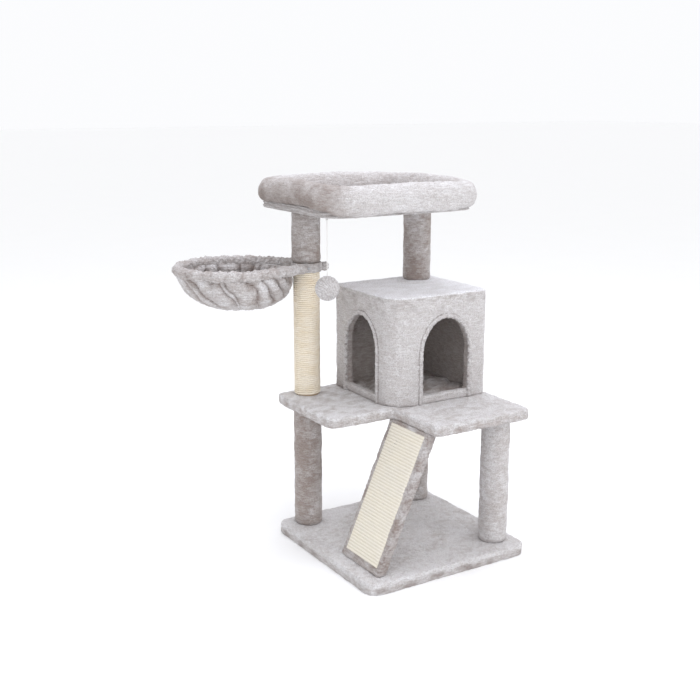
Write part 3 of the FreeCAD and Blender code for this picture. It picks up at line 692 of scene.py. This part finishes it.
def ramp_axes():
    """The ramp's foot, its unit vectors up the slope and out of its face, and its length."""
    foot = Vector((-0.203, 0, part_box("base_cover")[1].z))
    top = Vector((-0.056, 0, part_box("platform_cover")[0].z))
    up = (top - foot).normalized()
    return foot, up, Vector((-up.z, 0, up.x)), (top - foot).length


def make_ramp(plush):
    low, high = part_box("ramp_board")
    y0, y1 = low.y - 0.005, high.y + 0.005
    foot, up, _, length = ramp_axes()
    across = Vector(((RAMP_THICKNESS - 0.004) / up.z, 0, 0))
    top = foot + up * length
    outline = [foot, foot + across, top + across, top]
    obj = prism("ramp_plush", [(p.x, y0, p.z) for p in outline], (0, y1 - y0, 0))
    cloth_solid(obj, 0.0028, 8)
    side_face = ease(np.abs(normals_of(obj)[:, 1]), 0.4, 0.9)
    push(obj, side_face * wobbles(points_of(obj), (0.0008, 0.035, 35), (0.0006, 0.01, 36)))
    pile_relief(obj, 31, short=0.0005)
    points = points_of(obj)
    margin = np.minimum(points[:, 1] - y0, y1 - points[:, 1])
    frayed = ease(wobble(points, 0.009, 33, 20), -0.4, 1.0)
    shade(obj, 0.55 * frayed * ease(margin, 0.014, 0.003) + 0.12)
    paint_nap_and_light(obj, 0.36 + 0.2 * wobble(points, 0.045, 34))
    keep_between(obj, foot.z + 0.0003, top.z - 0.0003)
    piece(obj, "root", plush, "plush", "ramp_cover")


def make_mat(woven):
    """The mat's weave: ribs across the ramp, and strands along it that shift from rib to rib."""
    low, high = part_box("ramp_mat")
    foot, up, out, _ = (np.array(part) for part in ramp_axes())
    per_rib, across, strands = 8, 36, 47
    places = np.linspace(0, 1, MAT_RIBS * per_rib + 1), np.linspace(0, 1, across)
    grid_t, grid_v = np.meshgrid(*places, indexing="ij")
    phase = grid_t * MAT_RIBS
    rib = np.abs(np.sin(pi * phase)) ** 0.6
    strand = 0.5 + 0.5 * np.sin(tau * (grid_v * strands + 0.5 * np.floor(phase)))
    edge = ease(np.minimum(grid_v, 1 - grid_v), 0.0, 0.012)
    ends = ease(np.minimum(grid_t, 1 - grid_t), 0.0, 0.004)
    height = (0.0008 + 0.0022 * rib + 0.0003 * strand) * (0.25 + 0.75 * edge * ends)
    along = ((low.z - foot[2]) / up[2] + (high.z - low.z) / up[2] * grid_t)[..., None]
    face = foot + along * up + height[..., None] * out
    back = foot + along * up - 0.003 * out
    face[..., 1] = back[..., 1] = low.y + (high.y - low.y) * grid_v
    obj = skin("ramp_mat_weave", np.concatenate([face, back[:, ::-1]], 1))
    # painted shade in the grooves between the ribs
    shade(obj, with_ends(np.concatenate([(1 - rib) ** 2, np.zeros_like(rib)], 1)))
    piece(obj, "root", woven, "sisal_mat", "ramp_mat")


# ---- posts ----
def make_post(name, node, plush, seed, tone):
    """A sleeve of plush with pleats and a dark line of painted shade at each end, where it meets the boards,
    and a seam up its back.
    """
    low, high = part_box(node)
    x, y, _ = middle_of(low, high)
    rows, columns = max(24, int((high.z - low.z) / 0.003)), 96
    z, a = np.meshgrid(np.linspace(low.z, high.z, rows), circle(columns), indexing="ij")

    def sleeve(radius):
        return np.stack([x + radius * np.cos(a), y + radius * np.sin(a), z], -1)

    plain = sleeve(POST_RADIUS).reshape(-1, 3)
    from_end = np.minimum(z - low.z, high.z - z)
    bulge = 0.0005 * np.exp(-((from_end - 0.012) / 0.006) ** 2)
    tuck = 0.003 * (1 - ease(from_end, 0, 0.007)) - bulge
    pleats = 0.5 + 0.5 * np.sin(a * 17 + 2.2 * wobble(plain, 0.06, seed).reshape(z.shape))
    pleat = 0.001 * pleats * np.exp(-from_end / 0.01)
    seam = 0.0012 * np.exp(-(wrapped(a - radians(60)) / 0.035) ** 2)
    swell = wobbles(plain, (0.0006, 0.06, seed + 1), (0.0003, 0.012, seed + 2)).reshape(z.shape)
    obj = skin(name, sleeve(POST_RADIUS - 0.0003 - tuck - pleat - seam + swell))
    # painted shade in a line at each end and in the pleats near the ends; the seam is darker too
    dark = 0.55 * np.exp(-from_end / 0.0035) + 0.5 * seam / 0.0012
    dark = dark + 0.16 * ease(pleats, 0.7, 1) * np.exp(-from_end / 0.02)
    shade(obj, with_ends(dark, (1, 1)))
    points = points_of(obj)
    uneven = 0.18 * wobble(points * (1, 1, 0.5), 0.06, seed + 3) + 0.13 * wobble(points, 0.018, seed + 4)
    paint_nap_and_light(obj, tone + uneven * min(1.0, 0.5 + tone))
    piece(obj, "root", plush, "plush", node)


def make_rope(sisal):
    """One long rope wound up the post: three strands twist along it."""
    low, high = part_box("sisal_rope")
    x, y, _ = middle_of(low, high)
    winding = ROPE_CREST - ROPE_DIAMETER / 2
    turns = int((high.z - low.z) / ROPE_DIAMETER)
    pitch = (high.z - low.z - ROPE_DIAMETER) / turns
    around, per_turn = 8, 120
    turn = np.linspace(0, turns, turns * per_turn)
    angle = tau * turn
    outward = np.stack([np.cos(angle), np.sin(angle), np.zeros_like(angle)], -1)
    line = winding * outward
    line[:, 2] += low.z + ROPE_DIAMETER / 2 + pitch * turn
    line += (x, y, 0)
    line += outward * (0.0002 * wobble(line, 0.02, 41))[:, None]
    section = circle(around)
    lay = tau * (tau * winding * turn) / ROPE_LAY
    lobes = np.abs(np.cos(1.5 * (section[None, :] - lay[:, None])))
    obj = skin("sisal_winding", tube(line, ROPE_DIAMETER / 2 * (0.86 + 0.2 * lobes), section, outward))
    # painted shade in the grooves between the strands
    shade(obj, with_ends((1 - lobes) ** 2))
    piece(obj, "root", sisal, "sisal_rope", "sisal_rope")


# ---- condo ----
def arch(grow=0.0, sill=DOOR_SILL, steps=40):
    """A doorway's outline as (across, height), from its low left corner to its low right one."""
    half, rise = DOOR_WIDTH / 2 + grow, DOOR_APEX - DOOR_SPRING + grow
    points = [(-half, sill)]
    for k in range(steps + 1):
        angle = pi * (1 - k / steps)
        points.append((half * cos(angle), DOOR_SPRING + rise * sin(angle)))
    points.append((half, sill))
    return points


def on_wall(side, across, height, out, low):
    """A point in front of the left or the front wall's outer face."""
    if side == "front":
        return (FRONT_DOOR_X + across, low.y - out, height)
    return (low.x - out, LEFT_DOOR_Y - across, height)


def make_condo(plush):
    low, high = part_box("condo_wall_plush")
    corners = [(low.x, low.y, CONDO_ROUND), (high.x, low.y, CONDO_CORNER),
               (high.x, high.y, CONDO_CORNER), (low.x, high.y, CONDO_CORNER)]
    make_condo_walls(plush, corners, low, high)
    make_condo_roof(plush, corners)
    for side in ("left", "front"):
        make_piping(side, low, plush)


def make_condo_walls(plush, corners, low, high):
    wall = WALL + 0.0018
    inner = [(x + wall * (1 if x == low.x else -1), y + wall * (1 if y == low.y else -1),
              max(radius - wall, 0.003)) for x, y, radius in corners]
    walls_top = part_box("condo_roof_board")[0].z + 0.006
    obj = slab("condo_walls_plush", corners, low.z, walls_top)
    cut(obj, slab("room", inner, low.z - 0.01, walls_top + 0.01))
    for side in ("left", "front"):
        outline = [on_wall(side, *spot, 0.02, low) for spot in arch(-0.003, DOOR_SILL + 0.0028)]
        cut(obj, prism("doorway", outline, (0, 0.05, 0) if side == "front" else (0.05, 0, 0)))
    cloth_solid(obj, COVER_VOXEL, 4)
    pile_relief(obj, 51, long=0.0006)
    points = points_of(obj)
    x, y, z = points.T
    inner_side = (normals_of(obj) * (middle_of(low, high) - points))[:, :2].sum(1) > 0.02
    on_left = x < low.x + 0.02
    foot = ease(z, low.z + 0.008, low.z + 0.001)
    patches = ease(wobble(points, 0.024, 53), -0.3, 1.2)
    under_roof = ease(z, walls_top - 0.06, walls_top - 0.008) * patches
    left_foot = ease(z, low.z + 0.018, low.z + 0.002) * (x < low.x + 0.006)
    low_left = np.exp(-((y - high.y) ** 2 + (z - low.z) ** 2) / 0.045 ** 2) * on_left
    # painted shade along the foot of the walls, in patches under the roof and along the left wall's foot;
    # darker low at the back of the left wall
    outer_dark = 0.4 * foot + 0.3 * left_foot + 0.38 * under_roof + 0.8 * low_left
    # the jambs, which turn in behind the piping, get painted shade
    low_door = z < DOOR_APEX + 0.003
    in_left = (np.abs(y - LEFT_DOOR_Y) < 0.077) & (x < low.x + 0.026) & low_door
    in_front = (np.abs(x - FRONT_DOOR_X) < 0.077) & (y < low.y + 0.026) & low_door
    behind = np.where(in_left, x - low.x, np.where(in_front, y - low.y, 0))
    jamb = 0.8 * ease(behind, 0.002, 0.009) * (z > DOOR_SILL + 0.006)
    # the inner faces get painted shade all over
    shade(obj, np.where(inner_side, 0.33 + 0.2 * foot, np.maximum(outer_dark, jamb)))
    paint_nap_and_light(obj, np.where(inner_side, 0.45, 0.03 * on_left))
    piece(obj, "root", plush, "plush", "condo_wall_plush", "condo_lining",
          "door_sill_left", "door_sill_front")


def make_condo_roof(plush, corners):
    low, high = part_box("condo_roof_plush")
    obj = slab("condo_roof_top", corners, low.z - 0.009, high.z + 0.0012)
    cloth_solid(obj, 0.0028, 16)
    pile_relief(obj, 55)
    points = points_of(obj)
    z = points[:, 2]
    patches = ease(wobble(points, 0.03, 57), 0.0, 1.2) * ease(z, high.z - 0.001, low.z)
    # painted shade under the roof's edge and in patches on its lower edge
    shade(obj, 0.4 * ease(z, low.z - 0.003, low.z - 0.008) + 0.45 * patches)
    top = ease(z, low.z + 0.001, high.z - 0.0005)
    # the top is painted paler and cooler: painted light
    paint_nap_and_light(obj, 0.04 - top * (0.82 + 0.2 * wobble(points * (1, 2, 1), 0.06, 58)))
    piece(obj, "root", plush, "plush", "condo_roof_plush")


def make_piping(side, low, plush):
    """Fuzzy plush binding over the edge of a doorway."""
    path = resample(arch(0.003, low.z + 0.001), 220, closed=False)
    tangents = unit(np.gradient(path, axis=0))
    outward = np.stack([-tangents[:, 1], tangents[:, 0]], 1)
    section = circle(18)
    half_width, half_depth = PIPING_HALF
    rings = np.empty((len(path), len(section), 3))
    for i, (spot, side_way) in enumerate(zip(path, outward)):
        for j, angle in enumerate(section):
            across, height = spot + side_way * (half_width * cos(angle))
            rings[i, j] = on_wall(side, across, height, half_depth * sin(angle) - 0.0008, low)
    obj = skin("door_piping_" + side, rings)
    points = points_of(obj)
    push(obj, wobbles(points, (0.0006, 0.01, 61), (0.0009, 0.0055, 62)))
    across = with_ends(np.tile(np.cos(section), len(path)))
    frayed = ease(wobble(points, 0.007, 63), -0.4, 1.0)
    # painted shade in a line along the outer edge, and dark frayed speckle along the edge by the opening
    shade(obj, 0.9 * ease(across, 0.7, 1.0) + 0.8 * frayed * ease(-across, 0.2, 0.9))
    piece(obj, "root", plush, "plush", "door_trim_" + side)


def make_floor_pad(plush):
    low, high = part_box("condo_floor_pad")
    obj = slab("condo_floor_cushion", rectangle(low, high, 0.03, 0.002), low.z + 0.0005, high.z - 0.001)
    cloth_solid(obj, PAD_VOXEL, 2)
    inflate(obj, 2.5, 0.07, points_of(obj)[:, 2] < low.z + 0.004, 0.006)
    points = points_of(obj)
    for k in range(2):
        points[:, k] = np.clip(points[:, k], low[k] + 0.0005, high[k] - 0.0005)
    points[:, 2] = np.maximum(points[:, 2], low.z + 0.0005)
    points[:, 2] += 0.0012 * wobble(points, 0.03, 71) * (points[:, 2] > middle_of(low, high)[2])
    move_points(obj, points)
    subdivide(obj)
    points = points_of(obj)
    # the pad inside the condo is darkened all over, in patches: painted shade
    shade(obj, 0.45 * ease(wobble(points, 0.022, 73), -0.2, 1.0) + 0.2)
    paint_nap_and_light(obj, 0.4 + 0.25 * wobble(points, 0.04, 74))
    piece(obj, "root", plush, "padding", "condo_floor_pad")


# ---- perch ----
def make_bolster(plush):
    """The padded ring round the perch, fuller below along the front, where it hangs over the board."""
    low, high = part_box("perch_bolster")
    board_low, board_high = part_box("perch_cover")
    half_width, half_height = BOLSTER_HALF
    path = resample(rounded(rectangle(low, high, PERCH_CORNER - half_width, half_width)), 264)
    path = np.column_stack([path, np.full(len(path), BOLSTER_Z)])
    _, sideways = along_path(path, True)
    section = circle(44)
    c, s = np.cos(section)[None, :], np.sin(section)[None, :]
    hanging = (ease(-sideways[:, 1], 0.2, 0.9) * (1 - 0.8 * ease(path[:, 0], 0.1, 0.18)))[:, None]
    power = 1 - 0.34 * hanging * (s < 0)
    across = (half_width - 0.002) * squarer(c, power)
    lift = (half_height - 0.002) * squarer(s, power)
    lift = np.where(s < 0, lift * (0.88 + 0.12 * hanging), lift)
    rings = path[:, None] + across[..., None] * sideways[:, None] + lift[..., None] * np.array((0, 0, 1.0))
    points = rings.reshape(-1, 3)
    floor = board_high.z + 0.0004
    over_board = within(points, board_low, board_high, PERCH_BOARD_CORNER)
    lowest = np.where(over_board, floor, -1.0)
    points[:, 2] = np.maximum(points[:, 2], lowest)
    obj = skin("perch_bolster_plush", points.reshape(rings.shape), closed=True)
    inflate(obj, 5.0, 0.03, (points_of(obj)[:, 2] < floor + 0.004) & over_board, 0.006)
    # soft puckers run over the bolster where its filling is uneven
    along = np.repeat(np.arange(len(path)), len(section)) * (tau / len(path))
    over = np.tile(section, len(path))
    crease = np.zeros(len(points))
    for place, depth, lean in BOLSTER_PUCKERS:
        gap = wrapped(along - place - lean * np.sin(over))
        crease += depth * np.exp(-(gap / 0.035) ** 2) * (0.35 + 0.65 * np.cos(over - 0.5) ** 2)
    points = points_of(obj)
    push(obj, -0.0013 * crease + 0.0007 * wobble(points, 0.08, 81) + 0.0005 * wobble(points, 0.02, 82))
    keep_between(obj, lowest)
    points = points_of(obj)
    # painted shade: the left end darker toward its low side, the inner side and the underside darker, and the
    # puckers
    left = ease(points[:, 0], -0.15, -0.21) * ease(points[:, 1], -0.075, -0.02)
    inner = ease(-np.cos(over), 0.1, 0.8)
    patches = ease(wobble(points, 0.055, 83), -0.5, 0.9)
    low_side = 0.65 + 0.35 * ease(-np.sin(over), -0.6, 0.4)
    paint_nap_and_light(obj, -0.04 + left * (0.66 + 0.3 * patches) * low_side * (1 - inner) + 0.25 * inner)
    under = ease(-np.sin(over), 0.75, 1.0)
    shade(obj, 0.15 * crease + 0.5 * under + left * (0.1 + 0.34 * patches) * low_side)
    subdivide(obj)
    pile_relief(obj, 85, long=0.0, short=0.0003)
    piece(obj, "root", plush, "padding", "perch_bolster")


def make_perch_pad(plush):
    low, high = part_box("perch_pad")
    obj = slab("perch_nest_pad", rectangle(low, high, 0.022, -0.004), low.z + 0.0005, high.z - 0.004)
    cloth_solid(obj, PAD_VOXEL, 2)
    inflate(obj, 3.0, 0.09, points_of(obj)[:, 2] < low.z + 0.004, 0.012)
    points = points_of(obj)
    raised = ease(points[:, 2], low.z + 0.006, high.z - 0.006)
    points[:, 2] += raised * wobbles(points, (0.002, 0.05, 91), (0.001, 0.018, 92))
    move_points(obj, points)
    keep_between(obj, low.z + 0.0005, high.z + 0.006)
    subdivide(obj)
    points = points_of(obj)
    # painted shade in the pad's dips
    shade(obj, 0.14 * ease(-wobble(points, 0.018, 92), 0.3, 1.4) + 0.05)
    paint_nap_and_light(obj, 0.1 * wobble(points * (1, 2, 1), 0.05, 93) - 0.04)
    piece(obj, "root", plush, "padding", "perch_pad")


def make_perch_cover(plush):
    """The board's cover, gathered under the bolster."""
    low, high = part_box("perch_cover")
    obj = slab("perch_board_plush", rectangle(low, high, PERCH_BOARD_CORNER), low.z, high.z)
    cloth_solid(obj, 0.0026, 5)
    points = points_of(obj)
    upright = 1 - np.abs(normals_of(obj)[:, 2])
    drape = wobble(points * (1, 1, 0), 0.16, 101)
    ruche = np.sin((points[:, 2] - low.z) * (tau / 0.0095) + 2.4 * drape + 0.6)
    push(obj, upright * (0.0017 * ruche + 0.0014 * drape) + 0.0004 * wobble(points, 0.02, 103))
    keep_between(obj, low.z + 0.0003, high.z)
    # painted shade in the valleys of the ruching on its sides
    shade(obj, upright * (0.05 + 0.6 * ease(-ruche, 0.2, 1.0)) + 0.05)
    paint_nap_and_light(obj, 0.05)
    piece(obj, "root", plush, "plush", "perch_cover")


# ---- hammock basket, drawn with the column at the origin and the basket along +X ----
def to_basket(points):
    """From the basket's own axes to the frame's."""
    x, y, _ = middle_of(*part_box("clamp_stud"))
    turned = np.array(points, float)
    c, s = cos(HOOP_BEARING), sin(HOOP_BEARING)
    across, away = turned[..., 0].copy(), turned[..., 1].copy()
    turned[..., 0] = x + c * across - s * away
    turned[..., 1] = y + s * across + c * away
    return turned


def hoop_line(start):
    """The hoop's centre line in the plane: a straight arm, the round, a straight arm."""
    centre = np.array((HOOP_REACH, 0.0))
    near, touch = [], []
    for side in (-1, 1):
        end = np.array((ARM_END[0], side * ARM_END[1]))
        away = end - centre
        spread = acos(HOOP_RADIUS / np.linalg.norm(away))
        angle = atan2(away[1], away[0]) - side * spread
        contact = centre + HOOP_RADIUS * np.array((cos(angle), sin(angle)))
        near.append(end + (contact - end) / np.linalg.norm(contact - end) * start)
        touch.append(angle)
    first, last = touch[0], touch[1] % tau
    if first > 0:
        first -= tau
    arc = [centre + HOOP_RADIUS * np.array((cos(a), sin(a))) for a in np.linspace(first, last, 90)]
    return np.array([near[0], *arc, near[1]])


def gathers(place, turns, count, seed, lean=0.0, share=0.0):
    """Swells between irregular creases that lean as they go down: 0 in a crease, 1 between two of them."""
    rng = np.random.default_rng(seed)
    starts = (np.arange(count) + rng.uniform(-0.4, 0.4, count)) * turns / count
    leans = lean + rng.normal(0, 0.25 * turns / count, count)
    waves = rng.uniform(0, tau, count)
    creases = np.sort((starts + leans * share + 0.1 * turns / count * np.sin(7 * share + waves)) % turns)
    creases = np.concatenate([[creases[-1] - turns], creases, [creases[0] + turns]])
    place = place % turns
    after = np.searchsorted(creases, place, side="right")
    before, following = creases[after - 1], creases[np.minimum(after, len(creases) - 1)]
    span = np.maximum(following - before, 1e-6)
    across = np.clip((place - before) / span, 0, 1)
    return (4 * across * (1 - across)) ** 0.6, span


def make_rim(plush):
    """The hoop's sleeve, bunched along the wire."""
    path = resample(hoop_line(0.004), 460, closed=False)
    path = np.column_stack([path, np.full(len(path), CLAMP_Z)])
    _, sideways = along_path(path, False)
    section = circle(40)
    lifts = np.column_stack([np.zeros(40), np.zeros(40), 0.014 * np.sin(section)])
    flat = np.repeat(path, len(section), 0) + np.tile(lifts, (len(path), 1))
    place = np.arange(len(path)) / (len(path) - 1)
    ends = ease(np.minimum(place, 1 - place), 0, 0.016)
    skew = 0.008 * np.sin(section)[None, :] * np.sin(23 * place)[:, None]
    bunch, span = gathers(place[:, None] + skew, 1.0, 34, 111)
    lumps = wobble(flat, 0.026, 112).reshape(len(path), -1)
    swell = np.minimum(span * 26, 1.0)
    radius = SLEEVE_RADIUS * (0.8 + 0.17 * bunch * swell + 0.065 * lumps) * (0.6 + 0.4 * ends[:, None])
    obj = skin("basket_rim_plush", to_basket(tube(path, radius, section, sideways)))
    # painted shade in the pinches between the bunches and in its dips
    shade(obj, with_ends(0.5 * (1 - bunch) ** 2.5 + 0.2 * ease(-lumps, 0.6, 1.6)))
    paint_nap_and_light(obj, 0.22 + 0.12 * wobble(points_of(obj), 0.05, 114))
    push(obj, 0.0011 * wobble(points_of(obj), 0.0085, 116, 20))
    piece(obj, "basket", plush, "plush", "hoop_sleeve")


def bowl_outline(scale, shift, inset, count):
    """A round end joined by tangents to a small nose by the post, as evenly spaced points."""
    radius, nose = (HOOP_RADIUS - inset) * scale, BOWL_NOSE_RADIUS * scale
    centre_x = HOOP_REACH - shift
    nose_x = centre_x - (HOOP_REACH - BOWL_NOSE) * scale
    lean = acos((radius - nose) / (centre_x - nose_x))
    big = np.linspace(pi + lean, 3 * pi - lean, 160)
    small = np.linspace(pi - lean, pi + lean, 24)
    points = [(centre_x + radius * cos(a), radius * sin(a)) for a in big]
    points += [(nose_x + nose * cos(a), nose * sin(a)) for a in small]
    return resample(points, count)


def bowl_ring(outer, share):
    """A level of the bowl's cloth, from the hoop (0) to the bottom (1): its points, the painted shade in its
    folds, and its hollows.
    """
    top, depth = CLAMP_Z - 0.004, BOWL_DEPTH - 0.01
    drop = sin(share * pi / 2) ** 1.15
    scale = max((1 - drop ** 2.6) ** (1 / 2.6), 0.02)
    line = bowl_outline(scale, BOWL_LEAN * drop, 0.002, BOWL_COLUMNS)
    tangent = np.roll(line, -1, 0) - np.roll(line, 1, 0)
    normal = unit(np.column_stack([tangent[:, 1], -tangent[:, 0]]))
    here = np.column_stack([line, np.full(BOWL_COLUMNS, 0.1 * share)])
    wander = circle(BOWL_COLUMNS) + 0.05 * wobble(here, 0.05, 122)
    creases, begin, fade, power = OUTER_CREASES if outer else INNER_CREASES
    fold, span = gathers(wander, tau, *creases, share)
    reach = ease(share, *begin) * (1 - ease(share, *fade))
    pleat, _ = gathers(wander, tau, 44, 126, -0.2, share)
    gathered = 1 - ease(share, 0.04, 0.34)
    swell = 0.011 * np.minimum(span / 0.3, 1.15) * (0.85 + 0.3 * wobble(here, 0.09, 123))
    puff = reach * swell * fold ** power + 0.003 * gathered * pleat
    offset = 0.0003 + puff - 0.0026 * reach if outer else -0.0028 - 1.5 * puff
    flatness = drop ** 5
    ring = np.column_stack([line + normal * (offset * (1 - flatness))[:, None],
                            top - depth * drop - offset * flatness])
    # painted shade in the creases and in the gathers by the hoop; the inner face gets more
    dark = reach * (0.3 * (1 - fold) + 0.6 * (1 - fold) ** 3) + 0.45 * gathered * (1 - pleat) ** 2
    return ring, dark if outer else 0.2 + dark, reach * (1 - fold)


def make_bowl(plush):
    """Plush cloth gathered on to the hoop, in puffed lobes between creases that lean and fade."""
    shares = np.linspace(0, 1, BOWL_ROWS)
    levels = [bowl_ring(False, share) for share in shares[::-1]]
    levels += [bowl_ring(True, share) for share in shares]
    rings, dark, hollow = (np.array(rows) for rows in zip(*levels))
    obj = skin("basket_bowl_plush", to_basket(rings))
    shade(obj, with_ends(dark))
    # the cloth near the creases is painted darker: painted shade
    paint_nap_and_light(obj, 0.1 + 0.55 * with_ends(hollow) + 0.2 * wobble(points_of(obj), 0.05, 127))
    push(obj, 0.0008 * wobble(points_of(obj), 0.008, 128, 20))
    piece(obj, "basket", plush, "plush", "basket_bowl")


def make_collar(plush):
    """The band round the column."""
    low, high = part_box("clamp_collar")
    z0, z1 = low.z + 0.0004, high.z - 0.0004
    middle, half = (z0 + z1) / 2, (z1 - z0) / 2
    profile = circle(24)
    rings = []
    for angle in circle(120):
        fold = 0.5 + 0.5 * sin(9 * angle + 1.2 * sin(3 * angle))
        out = COLLAR_RADIUS + 0.0026 * np.cos(profile) * (1 + 0.5 * fold)
        rings.append(np.column_stack([out * cos(angle), out * sin(angle),
                                      middle + half * squarer(np.sin(profile), 0.6)]))
    obj = skin("clamp_collar_plush", to_basket(np.array(rings)), closed=True)
    points = points_of(obj)
    push(obj, 0.0005 * np.maximum(wobble(points, 0.012, 131), -0.5))
    shade(obj, 0.15 + 0.3 * ease(wobble(points, 0.02, 132), 0.2, 1.2))
    piece(obj, "basket", plush, "plush", "clamp_collar")


def make_tuft(plush):
    """The scrunched end of the collar's cloth."""
    centre = middle_of(*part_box("collar_tuft"))
    ball = sphere(40, 64, 0.04)
    fold = np.abs(wobble(ball.reshape(-1, 3) * 0.0125 + centre, 0.013, 133)).reshape(ball.shape[:2])
    radius = TUFT_RADIUS + 0.0026 * np.minimum(fold, 1.2)
    obj = skin("collar_tuft_plush", centre + ball * radius[..., None])
    # painted shade in the creases of the scrunched cloth
    shade(obj, with_ends(0.7 * (1 - np.minimum(fold * 2.2, 1))))
    piece(obj, "basket", plush, "plush", "collar_tuft")


# ---- hanging ball ----
def make_string(white):
    data = bpy.data.curves.new("ball_string_line", "CURVE")
    data.dimensions = "3D"
    data.bevel_depth, data.bevel_resolution = STRING_DIAMETER / 2, 3
    data.use_fill_caps = True
    spline = data.splines.new("NURBS")
    spline.points.add(len(STRING_ROUTE) - 1)
    for point, place in zip(spline.points, STRING_ROUTE):
        point.co = (*place, 1)
    spline.order_u = 3
    spline.use_endpoint_u = True
    string = add_object("ball_string_line", data)
    data.materials.append(white)
    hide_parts("ball_string")
    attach(string, "pom_pom")
    return string


def make_pom_pom(plush):
    grid = sphere(110, 160, 0.02)
    flat = grid.reshape(-1, 3)
    swirl = flat[:, 0] * 0.8 + flat[:, 2] * 0.5 - flat[:, 1] * 0.3 + 0.16 * wobble(flat, 1.5, 141)
    groove = np.abs(np.sin(15 * swirl + 0.7 * wobble(flat, 0.5, 142)))
    radius = BALL_RADIUS - 0.0016 + 0.0014 * groove ** 0.7 + 0.0004 * wobble(flat, 0.22, 143)
    points = flat * radius[:, None] * (1, 1, 1.03) + (*BALL_AT, BALL_Z)
    obj = skin("pom_pom_plush", points.reshape(grid.shape))
    # painted shade in the grooves
    shade(obj, with_ends(0.45 * (1 - groove) ** 2, (0.3, 0)))
    paint_nap_and_light(obj, -0.08)
    piece(obj, "pom_pom", plush, "plush", "ball_plush")
    return obj


def make_knot(white):
    """A trefoil of the string's end."""
    t = circle(90)
    trefoil = np.column_stack([np.sin(t) + 2 * np.sin(2 * t), np.cos(t) - 2 * np.cos(2 * t),
                               -1.6 * np.sin(3 * t)])
    path = middle_of(*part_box("string_knot")) + trefoil * 0.00085
    tangents, sideways = along_path(path, True)
    rings = tube(path, 0.0009, circle(10), sideways, np.cross(sideways, tangents))
    knot = skin("string_knot_loop", rings, closed=True)
    piece(knot, "string_loop", white, "string", "string_knot")
    return knot


def make_ball(plush, white):
    string, obj, knot = make_string(white), make_pom_pom(plush), make_knot(white)


# ---- CAD nodes that stay as they are ----
def paint_hidden():
    steel, board = steel_material(), board_material()
    cardboard, liner, white = cardboard_material(), liner_material(), string_material()
    by_slot = {"steel": steel, "board": board, "cardboard": cardboard, "liner": liner, "ball_core": white}
    for row in frame["record"]["subparts"]:
        node = frame["nodes"][row["node"]]
        material = by_slot.get(row["material_slot"])
        if material and not node.hide_render:
            paint(node, material)


# ---- assembly ----
make_camera()
make_studio()
pile = plush_material("plush")
smooth_pile = plush_material("plush_smooth", 0.6)
make_ball(plush_material("plush_ball", 0.5, streak=(60, 60, 60)), string_material())
make_base(pile)
make_platform(pile)
make_ramp(pile)
make_mat(mat_material())
for number, (post, tone) in enumerate(POST_TONES.items()):
    make_post(post + "_wrap", post + "_plush", pile, 200 + 10 * number, tone)
make_rope(rope_material())
make_condo(smooth_pile)
make_floor_pad(pile)
make_bolster(smooth_pile)
make_perch_pad(smooth_pile)
make_perch_cover(smooth_pile)
make_rim(pile)
make_bowl(pile)
make_collar(pile)
make_tuft(pile)
paint_hidden()
